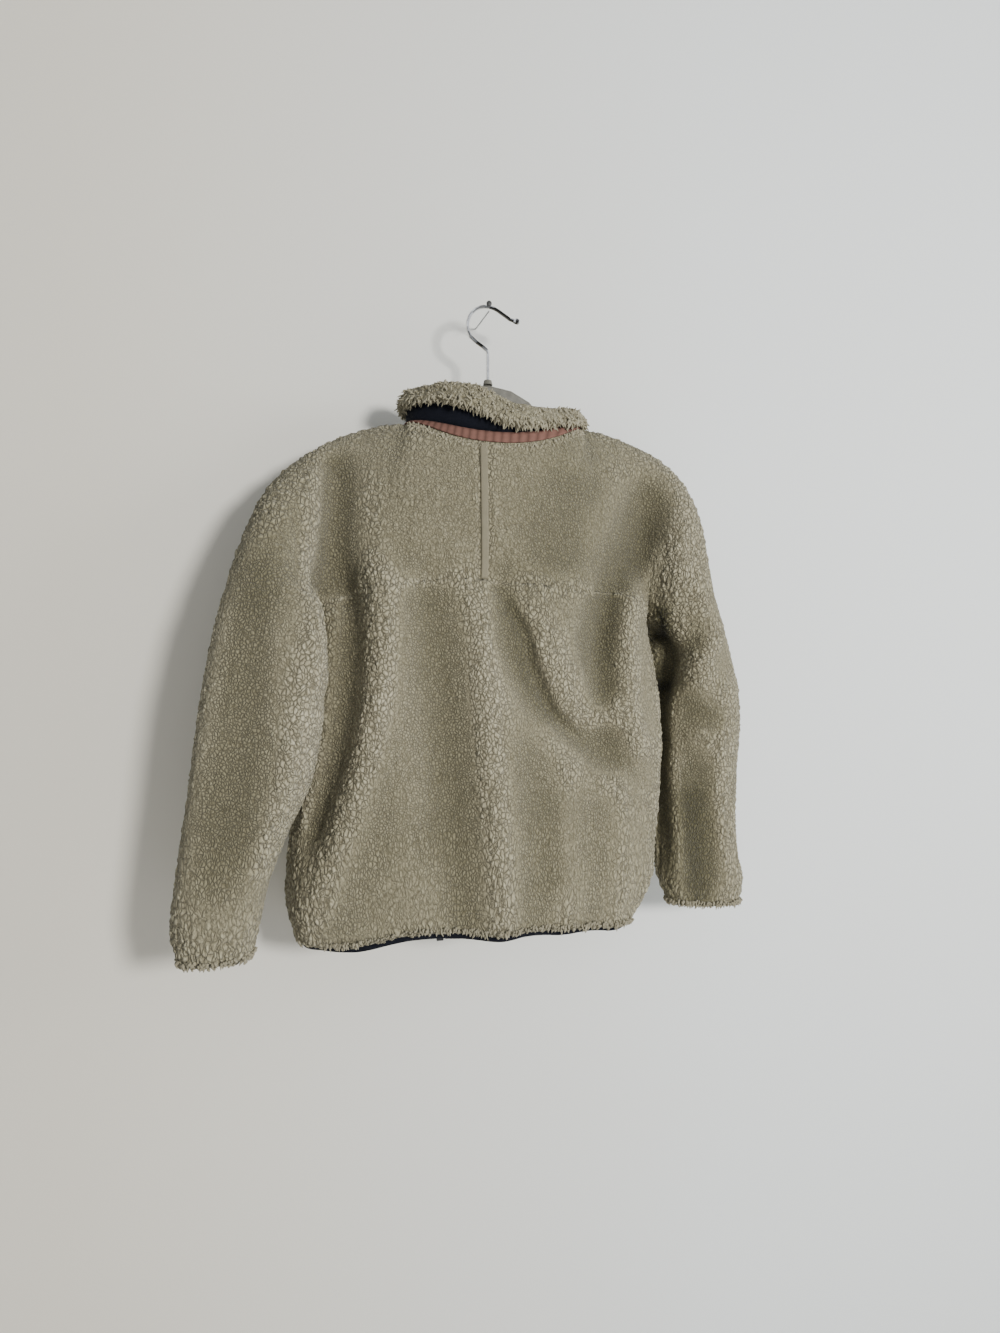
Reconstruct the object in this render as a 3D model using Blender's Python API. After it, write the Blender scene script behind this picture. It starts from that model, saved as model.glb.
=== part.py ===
"""A deep-pile fleece jacket, zipped, hanging from a plastic hanger with a chrome hook.

Metres, +Z up. The origin is the underside of the hook's top, where a peg would carry it. The hanger
lies in the plane y = 0. The jacket's back faces -Y, its zip faces +Y, and the wearer's left is -X.

One master surface, the outer face of the cloth, is worked out from the tables of sections below. It has
a back sheet, a front sheet and two sleeve tubes, which share their points along the shoulders, armholes
and sides. Each cut piece is its own region of that surface, drawn in a little at its seams and given
its wall along the surface's normals. Trims are made from the same points, moved out.
"""

import math
from collections import namedtuple

import bmesh
import bpy
import numpy as np

MM = 0.001

# ---------------------------------------------------------------- driving dimensions
WALL = 6.0 * MM  # knitted backing and pile together
SEAM_GAP = 0.3 * MM
RESTING_GAP = 0.4 * MM  # between a piece and what it lies on

COLUMNS = 28  # across the back; the front has one more, for the zip
SHOULDER_COLUMNS = 7  # from the end of the shoulder to the neck
YOKE_ROWS = 10  # from the shoulder to the yoke seam, which ends at the armpit
BODY_ROWS = 18  # from the yoke seam to the hem
SLEEVE_RINGS = 20

EASING_ROUNDS = 22
EASING_RETURN = 0.9

SIDE_SPREAD = 0.8  # how strongly the columns crowd towards the side folds
BODY_ROUNDNESS = 2.5  # exponent of the torso's section, 2 being an ellipse
SLEEVE_ROUNDNESS = 2.2

NECK_CENTRE_X = 6 * MM
CENTRE_SEAM_X = -18 * MM  # where the yoke's centre seam meets the neck
NECK_HALF_WIDTH = 101 * MM
NECK_BACK_DEPTH = 53 * MM
NECK_FRONT_DEPTH = 42 * MM
NECK_BACK_DROP = 20 * MM
NECK_FRONT_DROP = 48 * MM

ZIP_GAP = 12 * MM  # between the two fronts
ZIP_TOP_X = 0.0
ZIP_HEM_X = -52 * MM
FRONT_HEM_DROP = 24 * MM  # the zip's weight pulls the fronts down

# The torso at armpit height and below. Left and right are its side folds, centre its back seam.
Section = namedtuple("Section", "height left right centre side_y back front")
TORSO = [
    Section(-345, -197, 193, -18, -2, 58, 46),
    Section(-450, -200, 209, -16, -4, 60, 46),
    Section(-520, -207, 209, -14, -6, 60, 42),
    Section(-600, -218, 201, -12, -8, 58, 38),
    Section(-655, -220, 193, -10, -10, 55, 35),
    Section(-692, -209, 169, -10, -12, 48, 32),
]

# Heights along x of the lines that the rows of points run between
Level = namedtuple("Level", "x height")
SHOULDER = [
    Level(-197, -179),
    Level(-166, -161),
    Level(-123, -147),
    Level(-95, -142),
    Level(107, -132),
    Level(133, -134),
    Level(184, -146),
    Level(214, -158),
]
YOKE_SEAM = [
    Level(-197, -345),
    Level(-163, -334),
    Level(-108, -323),
    Level(-18, -317),
    Level(66, -325),
    Level(160, -331),
    Level(193, -348),
]
HEM = [
    Level(-209, -695),
    Level(-148, -694),
    Level(-108, -686),
    Level(-20, -690),
    Level(66, -692),
    Level(169, -700),
]

# Sleeve rings. Outer and inner are the ends of a ring's long axis, in the plane of the view from behind.
Ring = namedtuple("Ring", "step outer_x outer_z inner_x inner_z centre_y half_depth")
SLEEVE_LEFT = [
    Ring(0, -197, -179, -197, -345, 0, 42),
    Ring(1, -219, -191, -198, -350, -8, 45),
    Ring(2, -240, -221, -198, -358, -20, 47),
    Ring(3, -258, -264, -196, -372, -34, 47),
    Ring(4, -274, -316, -193, -394, -46, 45),
    Ring(5, -288, -372, -190, -426, -54, 43),
    Ring(6, -300, -441, -189, -470, -58, 41),
    Ring(7, -309, -512, -196, -520, -58, 38),
    Ring(8, -318, -580, -221, -577, -56, 35),
    Ring(9, -326, -640, -240, -630, -53, 31),
    Ring(10, -327, -674, -247, -668, -51, 28),
    Ring(11, -319, -694, -254, -692, -50, 22),
]
SLEEVE_RIGHT = [
    Ring(0, 214, -158, 193, -348, 0, 42),
    Ring(1, 237, -171, 195, -352, -4, 43),
    Ring(2, 249, -205, 198, -360, -8, 43),
    Ring(3, 258, -248, 218, -370, -11, 42),
    Ring(4, 268, -308, 233, -390, -12, 38),
    Ring(5, 287, -362, 227, -424, -12, 36),
    Ring(6, 311, -449, 214, -470, -11, 35),
    Ring(7, 309, -522, 210, -520, -10, 32),
    Ring(8, 307, -585, 210, -577, -10, 29),
    Ring(9, 311, -636, 211, -630, -10, 26),
    Ring(10, 321, -675, 213, -668, -10, 23),
    Ring(11, 313, -696, 222, -690, -10, 18),
]

# Folds of the back. Each runs through three points, stands out by its height (a valley's is negative)
# and dies away over its two half-widths and its run-out.
Fold = namedtuple("Fold", "x1 z1 x2 z2 x3 z3 height left right run_out")
BACK_FOLDS = {
    "armhole_left": Fold(-178, -200, -176, -270, -172, -330, -8, 14, 18, 30),
    "side_left": Fold(-163, -325, -164, -440, -197, -580, -14, 16, 18, 30),
    "ridge_left": Fold(-124, -325, -135, -470, -198, -665, 11, 22, 24, 40),
    "hollow_left": Fold(-77, -335, -62, -480, -45, -670, -8, 26, 26, 60),
    "ridge_centre": Fold(-14, -350, -7, -480, -3, -690, 10, 24, 20, 40),
    "drag_line": Fold(-2, -325, 40, -440, 115, -508, -11, 22, 28, 40),
    "drag_ridge": Fold(30, -322, 82, -425, 150, -485, 7, 24, 28, 40),
    "armhole_right": Fold(182, -215, 122, -335, 124, -480, -13, 30, 28, 50),
    "ridge_right": Fold(152, -330, 147, -400, 152, -490, 9, 15, 16, 40),
    "low_ridge_1": Fold(66, -545, 68, -620, 72, -700, 5, 18, 18, 50),
    "low_ridge_2": Fold(136, -540, 137, -620, 136, -700, 5, 18, 18, 50),
}
FRONT_FOLDS = {
    "front_left": Fold(-150, -260, -130, -430, -150, -650, -9, 22, 26, 60),
    "front_left_ridge": Fold(-95, -300, -88, -450, -105, -690, 7, 22, 22, 60),
    "front_right": Fold(140, -250, 105, -400, 100, -600, -9, 26, 22, 60),
    "front_right_ridge": Fold(60, -320, 45, -480, 35, -690, 7, 22, 22, 60),
}

# Folds of the sleeves: from one ring step to another, at an angle round the ring, 0 being the outer
# side, 90 the back, 180 the inner side and 270 the front.
SleeveFold = namedtuple("SleeveFold", "first last angle_first angle_last height half_angle")
FOLDS_LEFT = {
    "back_ridge": SleeveFold(0.6, 7.0, 118, 132, 7, 22),
    "front_ridge": SleeveFold(1.0, 8.0, 235, 250, 5, 24),
    "outer_hollow": SleeveFold(4.0, 9.0, 60, 75, -3, 26),
}
FOLDS_RIGHT = {
    "back_ridge": SleeveFold(1.0, 8.0, 100, 95, 4, 26),
    "front_ridge": SleeveFold(1.0, 8.0, 240, 250, 5, 24),
    "elbow_upper": SleeveFold(4.9, 5.6, 95, 130, 5, 45),
    "elbow_crease": SleeveFold(5.3, 6.5, 100, 140, -8, 40),
}

# The collar, by its angle round the neck: 0 left, 90 back, 180 right, 270 the zip.
Collar = namedtuple("Collar", "angle height flap flare lean")
COLLAR = [
    Collar(-80, 42, 12, 1, 4),
    Collar(-45, 40, 16, 1, 2),
    Collar(0, 37, 24, 1, -6),
    Collar(30, 37, 25, 3, -2),
    Collar(60, 46, 34, 5, 4),
    Collar(90, 47, 43, 5, 4),
    Collar(120, 30, 30, 4, 4),
    Collar(150, 22, 21, 3, 4),
    Collar(180, 16, 13, 2, 4),
    Collar(225, 30, 13, 1, 4),
    Collar(260, 42, 12, 1, 4),
]
STAND_WALL = 2.5 * MM
FACING_WALL = 6.0 * MM

TAPE_HEIGHT = 12 * MM
TAPE_WALL = 1.4 * MM
TAPE_LIFT = 0.7 * MM  # over the yoke, whose four-sided faces aren't quite flat
STRIP_WIDTH = 8.5 * MM
STRIP_WALL = 1.4 * MM
BINDING_HEIGHT = 8 * MM
BINDING_SET_BACK = 0.8 * MM
BINDING_WALL = 4.6 * MM
BINDING_GAP = 0.5 * MM

CHAIN_WIDTH = 5.0 * MM
CHAIN_WALL = 2.4 * MM
CHAIN_SET_BACK = 2.0 * MM  # behind the face of the fronts
SLIDER_GAP = 0.6 * MM
ZIP_TAPE_WALL = 1.2 * MM
ZIP_TAPE_SET_BACK = 2.6 * MM
ZIP_BOX_SPARE = 1.5 * MM  # wider than the chain on each side
ZIP_BOX_DEPTH = 3.6 * MM
ZIP_BOX_DROP = 3 * MM  # below the binding
ZIP_BOX_SET_BACK = 0.6 * MM
SLIDER_LENGTH = 13 * MM
SLIDER_WIDTH = 9 * MM
SLIDER_THICKNESS = 2.4 * MM
TAB_LENGTH = 32 * MM
TAB_WIDTH = 7 * MM
TAB_THICKNESS = 1.6 * MM
TAB_SLOT_WIDTH = 4.2 * MM
TAB_SLOT_LENGTH = 6.5 * MM
CROWN_WIDTH = 2.6 * MM
CROWN_WALL = 1.0 * MM
CROWN_LENGTH = 7.0 * MM
CROWN_HEIGHT = 3.0 * MM  # clear space under it, which holds the tab's bar

HOOK_WIRE = 2.0 * MM  # radius
HOOK_RADIUS = 23.7 * MM  # to the wire's centre line
Wire = namedtuple("Wire", "x z radius")  # in mm, the radius as a share of the wire's
HOOK_BEND = [Wire(0, -52, 1), Wire(-1, -48, 1), Wire(-6, -44, 1), Wire(-13, -40, 1)]
HOOK_TIP = [
    Wire(22, -7, 1),
    Wire(26, -9.5, 1),
    Wire(30.5, -10.5, 1.1),
    Wire(32.5, -10.8, 1.6),
    Wire(34.5, -11, 1.75),
    Wire(36.5, -11.2, 1.5),
    Wire(38, -11.3, 0.7),
]
HANGER_THICKNESS = 8 * MM
HANGER_DEPTH = 15 * MM
HANGER_BEVEL = 3.2 * MM
ARM_FIRST_COLUMN = 2  # the arms end under this column of the shoulder
ARM_GAP = 0.8 * MM
BOSS_RADIUS = 5.5 * MM
BOSS_HEIGHT = 5 * MM
HANGER_TOP = -88 * MM
HANGER_RISE = [  # the raised middle, measured down from the hanger's top
    Level(-80, -54),
    Level(-66, -33),
    Level(-49, -15),
    Level(-27, -4),
    Level(0, 0),
    Level(27, -4),
    Level(49, -15),
    Level(66, -33),
    Level(80, -50),
]


# ---------------------------------------------------------------- small helpers
def through(rows, at):
    """The rows of a table read at a value of their first column, along a smooth curve through them."""
    table = np.array(rows, float)
    knots = table[:, 0]
    at = min(max(at, knots.min()), knots.max())
    if knots[0] > knots[-1]:
        table, knots = table[::-1], knots[::-1]
    slopes = np.gradient(table, knots, axis=0)
    low = min(int(np.searchsorted(knots, at, side="right")) - 1, len(knots) - 2)
    span = knots[low + 1] - knots[low]
    t = (at - knots[low]) / span
    return (
        table[low] * (1 + 2 * t) * (1 - t) ** 2
        + slopes[low] * span * t * (1 - t) ** 2
        + table[low + 1] * t * t * (3 - 2 * t)
        + slopes[low + 1] * span * t * t * (t - 1)
    )


def height_at(levels, x):
    """Height in metres of a line of Level rows at x in metres."""
    return through(levels, x / MM)[1] * MM


def power(value, exponent):
    return math.copysign(abs(value) ** exponent, value)


def unit(vector):
    return vector / max(np.linalg.norm(vector), 1e-12)


def ease(t):
    t = min(max(t, 0.0), 1.0)
    return t * t * (3 - 2 * t)


def point(x, y, z):
    return np.array([x, y, z], float)


# ---------------------------------------------------------------- the master surface
def ring_point(ring, angle, roundness=SLEEVE_ROUNDNESS):
    """A point of a sleeve ring. Angle 0 is its outer end, a right angle its back."""
    outer = point(ring.outer_x, ring.centre_y, ring.outer_z)
    inner = point(ring.inner_x, ring.centre_y, ring.inner_z)
    along = power(math.cos(angle), 2 / roundness)
    across = power(math.sin(angle), 2 / roundness)
    middle, half = (outer + inner) / 2, (outer - inner) / 2
    return (middle + half * along - point(0, ring.half_depth * across, 0)) * MM


def rings_of(table):
    """SLEEVE_RINGS + 1 rings, evenly spaced along the sleeve, with the step of each."""
    steps = np.linspace(0, table[-1].step, 200)
    rings = [Ring(*through(table, step)) for step in steps]
    middles = np.array([[r.outer_x + r.inner_x, r.outer_z + r.inner_z] for r in rings]) / 2
    outers = np.array([[r.outer_x, r.outer_z] for r in rings])
    lengths = sum(np.linalg.norm(np.diff(line, axis=0), axis=1) for line in (middles, outers))
    run = np.concatenate([[0], np.cumsum(lengths)])
    wanted = np.interp(np.linspace(0, run[-1], SLEEVE_RINGS + 1), run, steps)
    return [Ring(*through(table, step)) for step in wanted]


def spread(t):
    """Maps -1..1 to itself, with the ends closer together."""
    return math.sin(SIDE_SPREAD * math.pi / 2 * t) / math.sin(SIDE_SPREAD * math.pi / 2)


def bulge(t, roundness=BODY_ROUNDNESS):
    return max(0.0, 1 - abs(t) ** roundness) ** (1 / roundness)


def zip_x(z):
    """The zip's middle at a height, in metres."""
    t = (z / MM + 150) / (-700 + 150)
    return ZIP_TOP_X + (ZIP_HEM_X - ZIP_TOP_X) * ease(t)


def neck_point(angle, side_height_left, side_height_right):
    """A point of the neck seam: 0 is left, a right angle the back, three right angles the zip."""
    sine, cosine = math.sin(angle), math.cos(angle)
    depth, drop = (NECK_BACK_DEPTH, NECK_BACK_DROP) if sine > 0 else (NECK_FRONT_DEPTH, NECK_FRONT_DROP)
    side = (side_height_left * (1 + cosine) + side_height_right * (1 - cosine)) / 2
    return point(
        NECK_CENTRE_X - NECK_HALF_WIDTH * cosine,
        -depth * sine,
        side - drop * abs(sine) ** 3,
    )


class Surface:
    """The outer face of all the cloth, as shared points and four-sided faces that name their piece."""

    def __init__(self):
        self.points = []
        self.faces = []
        self.pieces = []

    def add(self, place):
        self.points.append(np.array(place, float))
        return len(self.points) - 1

    def face(self, corners, piece):
        self.faces.append(tuple(corners))
        self.pieces.append(piece)


def back_x(column, left, right, centre):
    t = 2 * column / COLUMNS - 1
    s = spread(t)
    return centre + s * ((centre - left) if s < 0 else (right - centre)), s


def front_x(column, left, right, middle):
    """The front's columns: half of them up to the zip's gap, and half beyond it."""
    half = COLUMNS // 2
    if column <= half:
        t, start, end = column / half - 1, middle - ZIP_GAP / 2, left
    else:
        t, start, end = (column - 1 - half) / half, middle + ZIP_GAP / 2, right
    s = abs(spread(t))
    x = start + s * (end - start)
    middle_of_all = (left + right) / 2
    return x, (x - middle_of_all) / ((right - left) / 2)


def shoulder_line(side):
    """x of the shoulder's points, from its end to the neck."""
    tip = (SLEEVE_LEFT if side < 0 else SLEEVE_RIGHT)[0].outer_x * MM
    neck = NECK_CENTRE_X + side * NECK_HALF_WIDTH
    return np.linspace(tip, neck, SHOULDER_COLUMNS + 1)


def top_row(front):
    """The first row of a sheet: the shoulders and, between them, its half of the neck seam."""
    left, right = shoulder_line(-1), shoulder_line(1)
    heights = height_at(SHOULDER, left[-1]), height_at(SHOULDER, right[-1])
    row = [point(x, 0, height_at(SHOULDER, x)) for x in left]
    if front:
        middle = zip_x(heights[0] - NECK_FRONT_DROP)
        half = COLUMNS // 2 - SHOULDER_COLUMNS
        for start, end, steps in ((row[-1][0], middle - ZIP_GAP / 2, range(1, half + 1)),
                                  (right[-1], middle + ZIP_GAP / 2, range(half, 0, -1))):
            for step in steps:
                turn = math.cos(math.pi / 2 * step / half)
                x = end + (start - end) * turn
                cosine = max(-1.0, min(1.0, -(x - NECK_CENTRE_X) / NECK_HALF_WIDTH))
                row.append(neck_point(-math.acos(cosine), *heights))
                row[-1][0] = x
    else:
        half = COLUMNS // 2 - SHOULDER_COLUMNS
        middle = math.acos((NECK_CENTRE_X - CENTRE_SEAM_X) / NECK_HALF_WIDTH)
        angles = [middle * step / half for step in range(1, half + 1)]
        angles += [middle + (math.pi - middle) * step / half for step in range(1, half)]
        row += [neck_point(angle, *heights) for angle in angles]
    row += [point(x, 0, height_at(SHOULDER, x)) for x in right[::-1]]
    return row


def seam_row(front):
    """The row at armpit height: the yoke seam on the back."""
    section = Section(*through(TORSO, TORSO[0].height))
    row = []
    for column in range(COLUMNS + 1 + front):
        if front:
            x, s = front_x(column, section.left * MM, section.right * MM, zip_x(section.height * MM))
            y = section.side_y + section.front * bulge(s)
        else:
            x, s = back_x(column, section.left * MM, section.right * MM, section.centre * MM)
            y = section.side_y - section.back * bulge(s)
        row.append(point(x, y * MM, height_at(YOKE_SEAM, x)))
    return row


def upper_rows(front, armholes):
    """Rows from the shoulder to the yoke seam, which meet the armholes at both ends."""
    top, seam = top_row(front), seam_row(front)
    last = len(top) - 1
    rows = [top]
    for row in range(1, YOKE_ROWS):
        t = row / YOKE_ROWS
        at_armhole = (1 - math.cos(math.pi * t)) / 2
        over_arm = 1 - math.cos(math.pi / 2 * t)
        deep = math.sin(math.pi / 2 * t**0.8)
        places = []
        for column in range(last + 1):
            across = abs(2 * column / last - 1)
            near_neck = min(1.0, abs(top[column][0] - NECK_CENTRE_X) / NECK_HALF_WIDTH)
            down = t + (over_arm - t) * near_neck**2
            down += (at_armhole - down) * across**4
            a, b = top[column], seam[column]
            free = point(
                a[0] + (b[0] - a[0]) * ease(t),
                a[1] + (b[1] - a[1]) * deep,
                a[2] + (b[2] - a[2]) * down,
            )
            near = min(column, last - column)
            pull = max(0.0, 1 - near / 4) ** 1.4 * ease((YOKE_ROWS - row) / 3)
            edge = armholes[column > last // 2][row]
            places.append(edge if near == 0 else free + point(0, (edge[1] - free[1]) * pull, 0))
        rows.append(places)
    return rows


def lower_rows(front):
    """Rows from the yoke seam to the hem."""
    rows = []
    for row in range(BODY_ROWS + 1):
        t = row / BODY_ROWS
        places = []
        for column in range(COLUMNS + 1 + front):
            height = TORSO[0].height + (TORSO[-1].height - TORSO[0].height) * t
            section = Section(*through(TORSO, height))
            left, right = section.left * MM, section.right * MM
            if front:
                x, s = front_x(column, left, right, zip_x(height * MM))
                y = section.side_y + section.front * bulge(s)
                hem = height_at(HEM, x) - FRONT_HEM_DROP * (1 - s * s)
            else:
                x, s = back_x(column, left, right, section.centre * MM)
                y = section.side_y - section.back * bulge(s)
                hem = height_at(HEM, x)
            top = height_at(YOKE_SEAM, x)
            places.append(point(x, y * MM, top + (hem - top) * t))
        rows.append(places)
    return rows


def lay_sheet(surface, front, armholes, shared):
    """Adds a sheet's points. Those in shared, by (row, column), are used again."""
    sheet = []
    for r, row in enumerate(upper_rows(front, armholes) + lower_rows(front)):
        sheet.append([shared[r, c] if (r, c) in shared else surface.add(p) for c, p in enumerate(row)])
    return sheet


def lay_sleeve(surface, table, back_edge, front_edge):
    """Adds a sleeve's rings, of which the first is the armhole."""
    rings = rings_of(table)
    around = 2 * YOKE_ROWS
    armhole = back_edge[: YOKE_ROWS + 1] + front_edge[1:YOKE_ROWS][::-1]
    grid = [armhole]
    for ring in rings[1:]:
        grid.append([surface.add(ring_point(ring, 2 * math.pi * k / around)) for k in range(around)])
    return grid, [ring.step for ring in rings]


def build_surface():
    surface = Surface()
    armholes = [
        [ring_point(table[0], math.pi * row / YOKE_ROWS) for row in range(YOKE_ROWS + 1)]
        for table in (SLEEVE_LEFT, SLEEVE_RIGHT)
    ]
    back = lay_sheet(surface, False, armholes, {})
    rows, last_back, last_front = YOKE_ROWS + BODY_ROWS, COLUMNS, COLUMNS + 1
    shared = {(row, 0): back[row][0] for row in range(YOKE_ROWS, rows + 1)}
    shared |= {(row, last_front): back[row][last_back] for row in range(YOKE_ROWS, rows + 1)}
    for column in range(SHOULDER_COLUMNS + 1):
        shared[0, column] = back[0][column]
        shared[0, last_front - column] = back[0][last_back - column]
    towards_wall = [[place * point(1, -1, 1) for place in hole] for hole in armholes]
    front = lay_sheet(surface, True, towards_wall, shared)
    sleeves = []
    for table, back_column, front_column in ((SLEEVE_LEFT, 0, 0), (SLEEVE_RIGHT, last_back, last_front)):
        back_edge = [row[back_column] for row in back]
        front_edge = [row[front_column] for row in front]
        sleeves.append(lay_sleeve(surface, table, back_edge, front_edge))
    add_faces(surface, back, front, sleeves)
    return surface, back, front, sleeves


def add_faces(surface, back, front, sleeves):
    half = COLUMNS // 2
    for row in range(YOKE_ROWS + BODY_ROWS):
        for column in range(COLUMNS):
            yoke = "yoke_sleeve_left" if column < half else "yoke_sleeve_right"
            above, below = back[row], back[row + 1]
            corners = (above[column], below[column], below[column + 1], above[column + 1])
            surface.face(corners, yoke if row < YOKE_ROWS else "back_panel")
        for column in range(COLUMNS + 1):
            piece = "front_left" if column < half else "front_right" if column > half else "zip"
            above, below = front[row], front[row + 1]
            surface.face((above[column], above[column + 1], below[column + 1], below[column]), piece)
    for side, (grid, _) in enumerate(sleeves):
        piece = ("yoke_sleeve_left", "yoke_sleeve_right")[side]
        around = len(grid[0])
        for ring in range(SLEEVE_RINGS):
            for k in range(around):
                after = (k + 1) % around
                corners = [grid[ring][k], grid[ring][after], grid[ring + 1][after], grid[ring + 1][k]]
                surface.face(corners if side else corners[::-1], piece)


# ---------------------------------------------------------------- easing and folding the surface
def neighbours_of(surface):
    near = [set() for _ in surface.points]
    for corners in surface.faces:
        for a, b in zip(corners, corners[1:] + corners[:1]):
            near[a].add(b)
            near[b].add(a)
    return [sorted(around) for around in near]


def relax(points, near, amount):
    """Eases creases out: each round moves the points towards the middles of their neighbours, and then
    most of the way back, so that tight edges soften but broad forms keep their size."""
    for _ in range(EASING_ROUNDS):
        for way in (1.0, -EASING_RETURN):
            middles = np.array([points[around].mean(axis=0) for around in near])
            points += (middles - points) * amount[:, None] * way


def easing(surface, back, front, sleeves):
    """How much each point is eased: most round the armholes, nothing along the free edges."""
    amount = np.zeros(len(surface.points))
    for grid, _ in sleeves:
        for ring in range(0, 7):
            for index in grid[ring]:
                amount[index] = max(amount[index], 0.5 * (1 - ring / 7))
    for sheet in (back, front):
        last = len(sheet[0]) - 1
        for row in range(1, YOKE_ROWS + 5):
            for near in range(0, 5):
                strength = 0.45 * (1 - near / 5) * ease((YOKE_ROWS + 5 - row) / 4)
                for column in (near, last - near):
                    amount[sheet[row][column]] = max(amount[sheet[row][column]], strength)
    for column, index in enumerate(back[0]):
        near = min(column, COLUMNS - column)
        amount[index] = 0.4 * ease((SHOULDER_COLUMNS - 2 - near) / 4)
    for index in front[0][SHOULDER_COLUMNS:-SHOULDER_COLUMNS]:
        amount[index] = 0.0
    return amount


def normals_of(points, faces):
    """Unit normals of the points, weighted by the faces' areas."""
    total = np.zeros_like(points)
    for corners in faces:
        a, b, c, d = points[list(corners)]
        total[list(corners)] += np.cross(c - a, d - b)
    return total / np.maximum(np.linalg.norm(total, axis=1), 1e-12)[:, None]


def fold_height(fold, x, z):
    """A fold's height in mm at a place of a sheet, in mm."""
    if z > fold.z1 + fold.run_out or z < fold.z3 - fold.run_out:
        return 0.0
    t = (fold.z1 - z) / (fold.z1 - fold.z3)
    t2 = (fold.z1 - fold.z2) / (fold.z1 - fold.z3)
    line = (
        fold.x1 * (t - t2) * (t - 1) / t2
        + fold.x2 * t * (t - 1) / (t2 * (t2 - 1))
        + fold.x3 * t * (t - t2) / (1 - t2)
    )
    away = x - line
    width = fold.left if away < 0 else fold.right
    upper = ease((fold.z1 + fold.run_out - z) / fold.run_out)
    lower = ease((z - fold.z3 + fold.run_out) / fold.run_out)
    return fold.height * math.exp(-((away / width) ** 2)) * upper * lower


def sleeve_fold_height(fold, step, angle):
    middle = (fold.first + fold.last) / 2
    half = (fold.last - fold.first) / 2
    along = ease((half + 0.5 - abs(step - middle)) / min(half, 1.0))
    t = (step - fold.first) / (fold.last - fold.first)
    ridge = fold.angle_first + (fold.angle_last - fold.angle_first) * min(max(t, 0), 1)
    away = (angle - ridge + 180) % 360 - 180
    return fold.height * along * math.exp(-((away / fold.half_angle) ** 2))


def fold_surface(points, faces, back, front, sleeves):
    out = normals_of(points, faces)
    moved = points.copy()
    done = set()
    for sheet, folds in ((back, BACK_FOLDS), (front, FRONT_FOLDS)):
        last = len(sheet[0]) - 1
        for row in range(1, len(sheet)):
            for column, index in enumerate(sheet[row]):
                if index in done:
                    continue
                done.add(index)
                x, _, z = points[index] / MM
                side = ease(min(column, last - column) / 2)
                height = sum(fold_height(fold, x, z) for fold in folds.values())
                moved[index] += out[index] * height * side * ease(row / 3) * MM
    for (grid, steps), folds in zip(sleeves, (FOLDS_LEFT, FOLDS_RIGHT)):
        for ring in range(1, len(grid)):
            for k, index in enumerate(grid[ring]):
                angle = 360 * k / len(grid[ring])
                height = sum(sleeve_fold_height(fold, steps[ring], angle) for fold in folds.values())
                moved[index] += out[index] * height * MM
    return moved


# ---------------------------------------------------------------- making the pieces
def material(name, colour, roughness, metallic=0.0):
    made = bpy.data.materials.new(name)
    made.use_nodes = True
    shader = made.node_tree.nodes["Principled BSDF"]
    shader.inputs["Base Color"].default_value = (*colour, 1)
    shader.inputs["Roughness"].default_value = roughness
    shader.inputs["Metallic"].default_value = metallic
    made.diffuse_color = (*colour, 1)
    return made


def place_object(name, mesh, finish, smooth_angle=40):
    mesh.materials.append(finish)
    mesh.shade_smooth()
    mesh.set_sharp_from_angle(angle=math.radians(smooth_angle))
    made = bpy.data.objects.new(name, mesh)
    bpy.context.scene.collection.objects.link(made)
    return made


def finish_mesh(bm, name):
    bmesh.ops.recalc_face_normals(bm, faces=bm.faces)
    mesh = bpy.data.meshes.new(name)
    bm.to_mesh(mesh)
    bm.free()
    return mesh


def seam_allowances(bm):
    """How far each edge point of a flat piece moves in, so that it ends half a gap from the seam."""
    inward = {}
    for edge in bm.edges:
        if not edge.is_boundary:
            continue
        face = edge.link_faces[0]
        along = np.array(edge.verts[1].co - edge.verts[0].co)
        towards = np.array(face.calc_center_median() - edge.verts[0].co)
        towards -= along * (towards @ along) / (along @ along)
        for vert in edge.verts:
            inward.setdefault(vert, []).append(unit(towards))
    moves = {}
    for vert, ways in inward.items():
        total = sum(ways)
        if len(ways) == 2:
            moves[vert] = total / max(1 + ways[0] @ ways[1], 0.35) * (SEAM_GAP / 2)
        else:
            moves[vert] = unit(total) * SEAM_GAP / 2
    return moves


def wall_depths(points, out, faces):
    """The wall's depth at each point: WALL, and thinner where the surface folds too tightly for it."""
    pairs = {tuple(sorted(pair)) for corners in faces for pair in zip(corners, corners[1:] + corners[:1])}
    first, second = np.array(sorted(pairs)).T
    along = points[second] - points[first]
    squares = (along * along).sum(axis=1)
    depth = np.full(len(points), WALL)
    for _ in range(12):
        inner = points - out * depth[:, None]
        kept = ((inner[second] - inner[first]) * along).sum(axis=1) / squares
        tight = np.unique(np.concatenate([first[kept < 0.3], second[kept < 0.3]]))
        depth[tight] *= 0.85
    return depth


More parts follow.
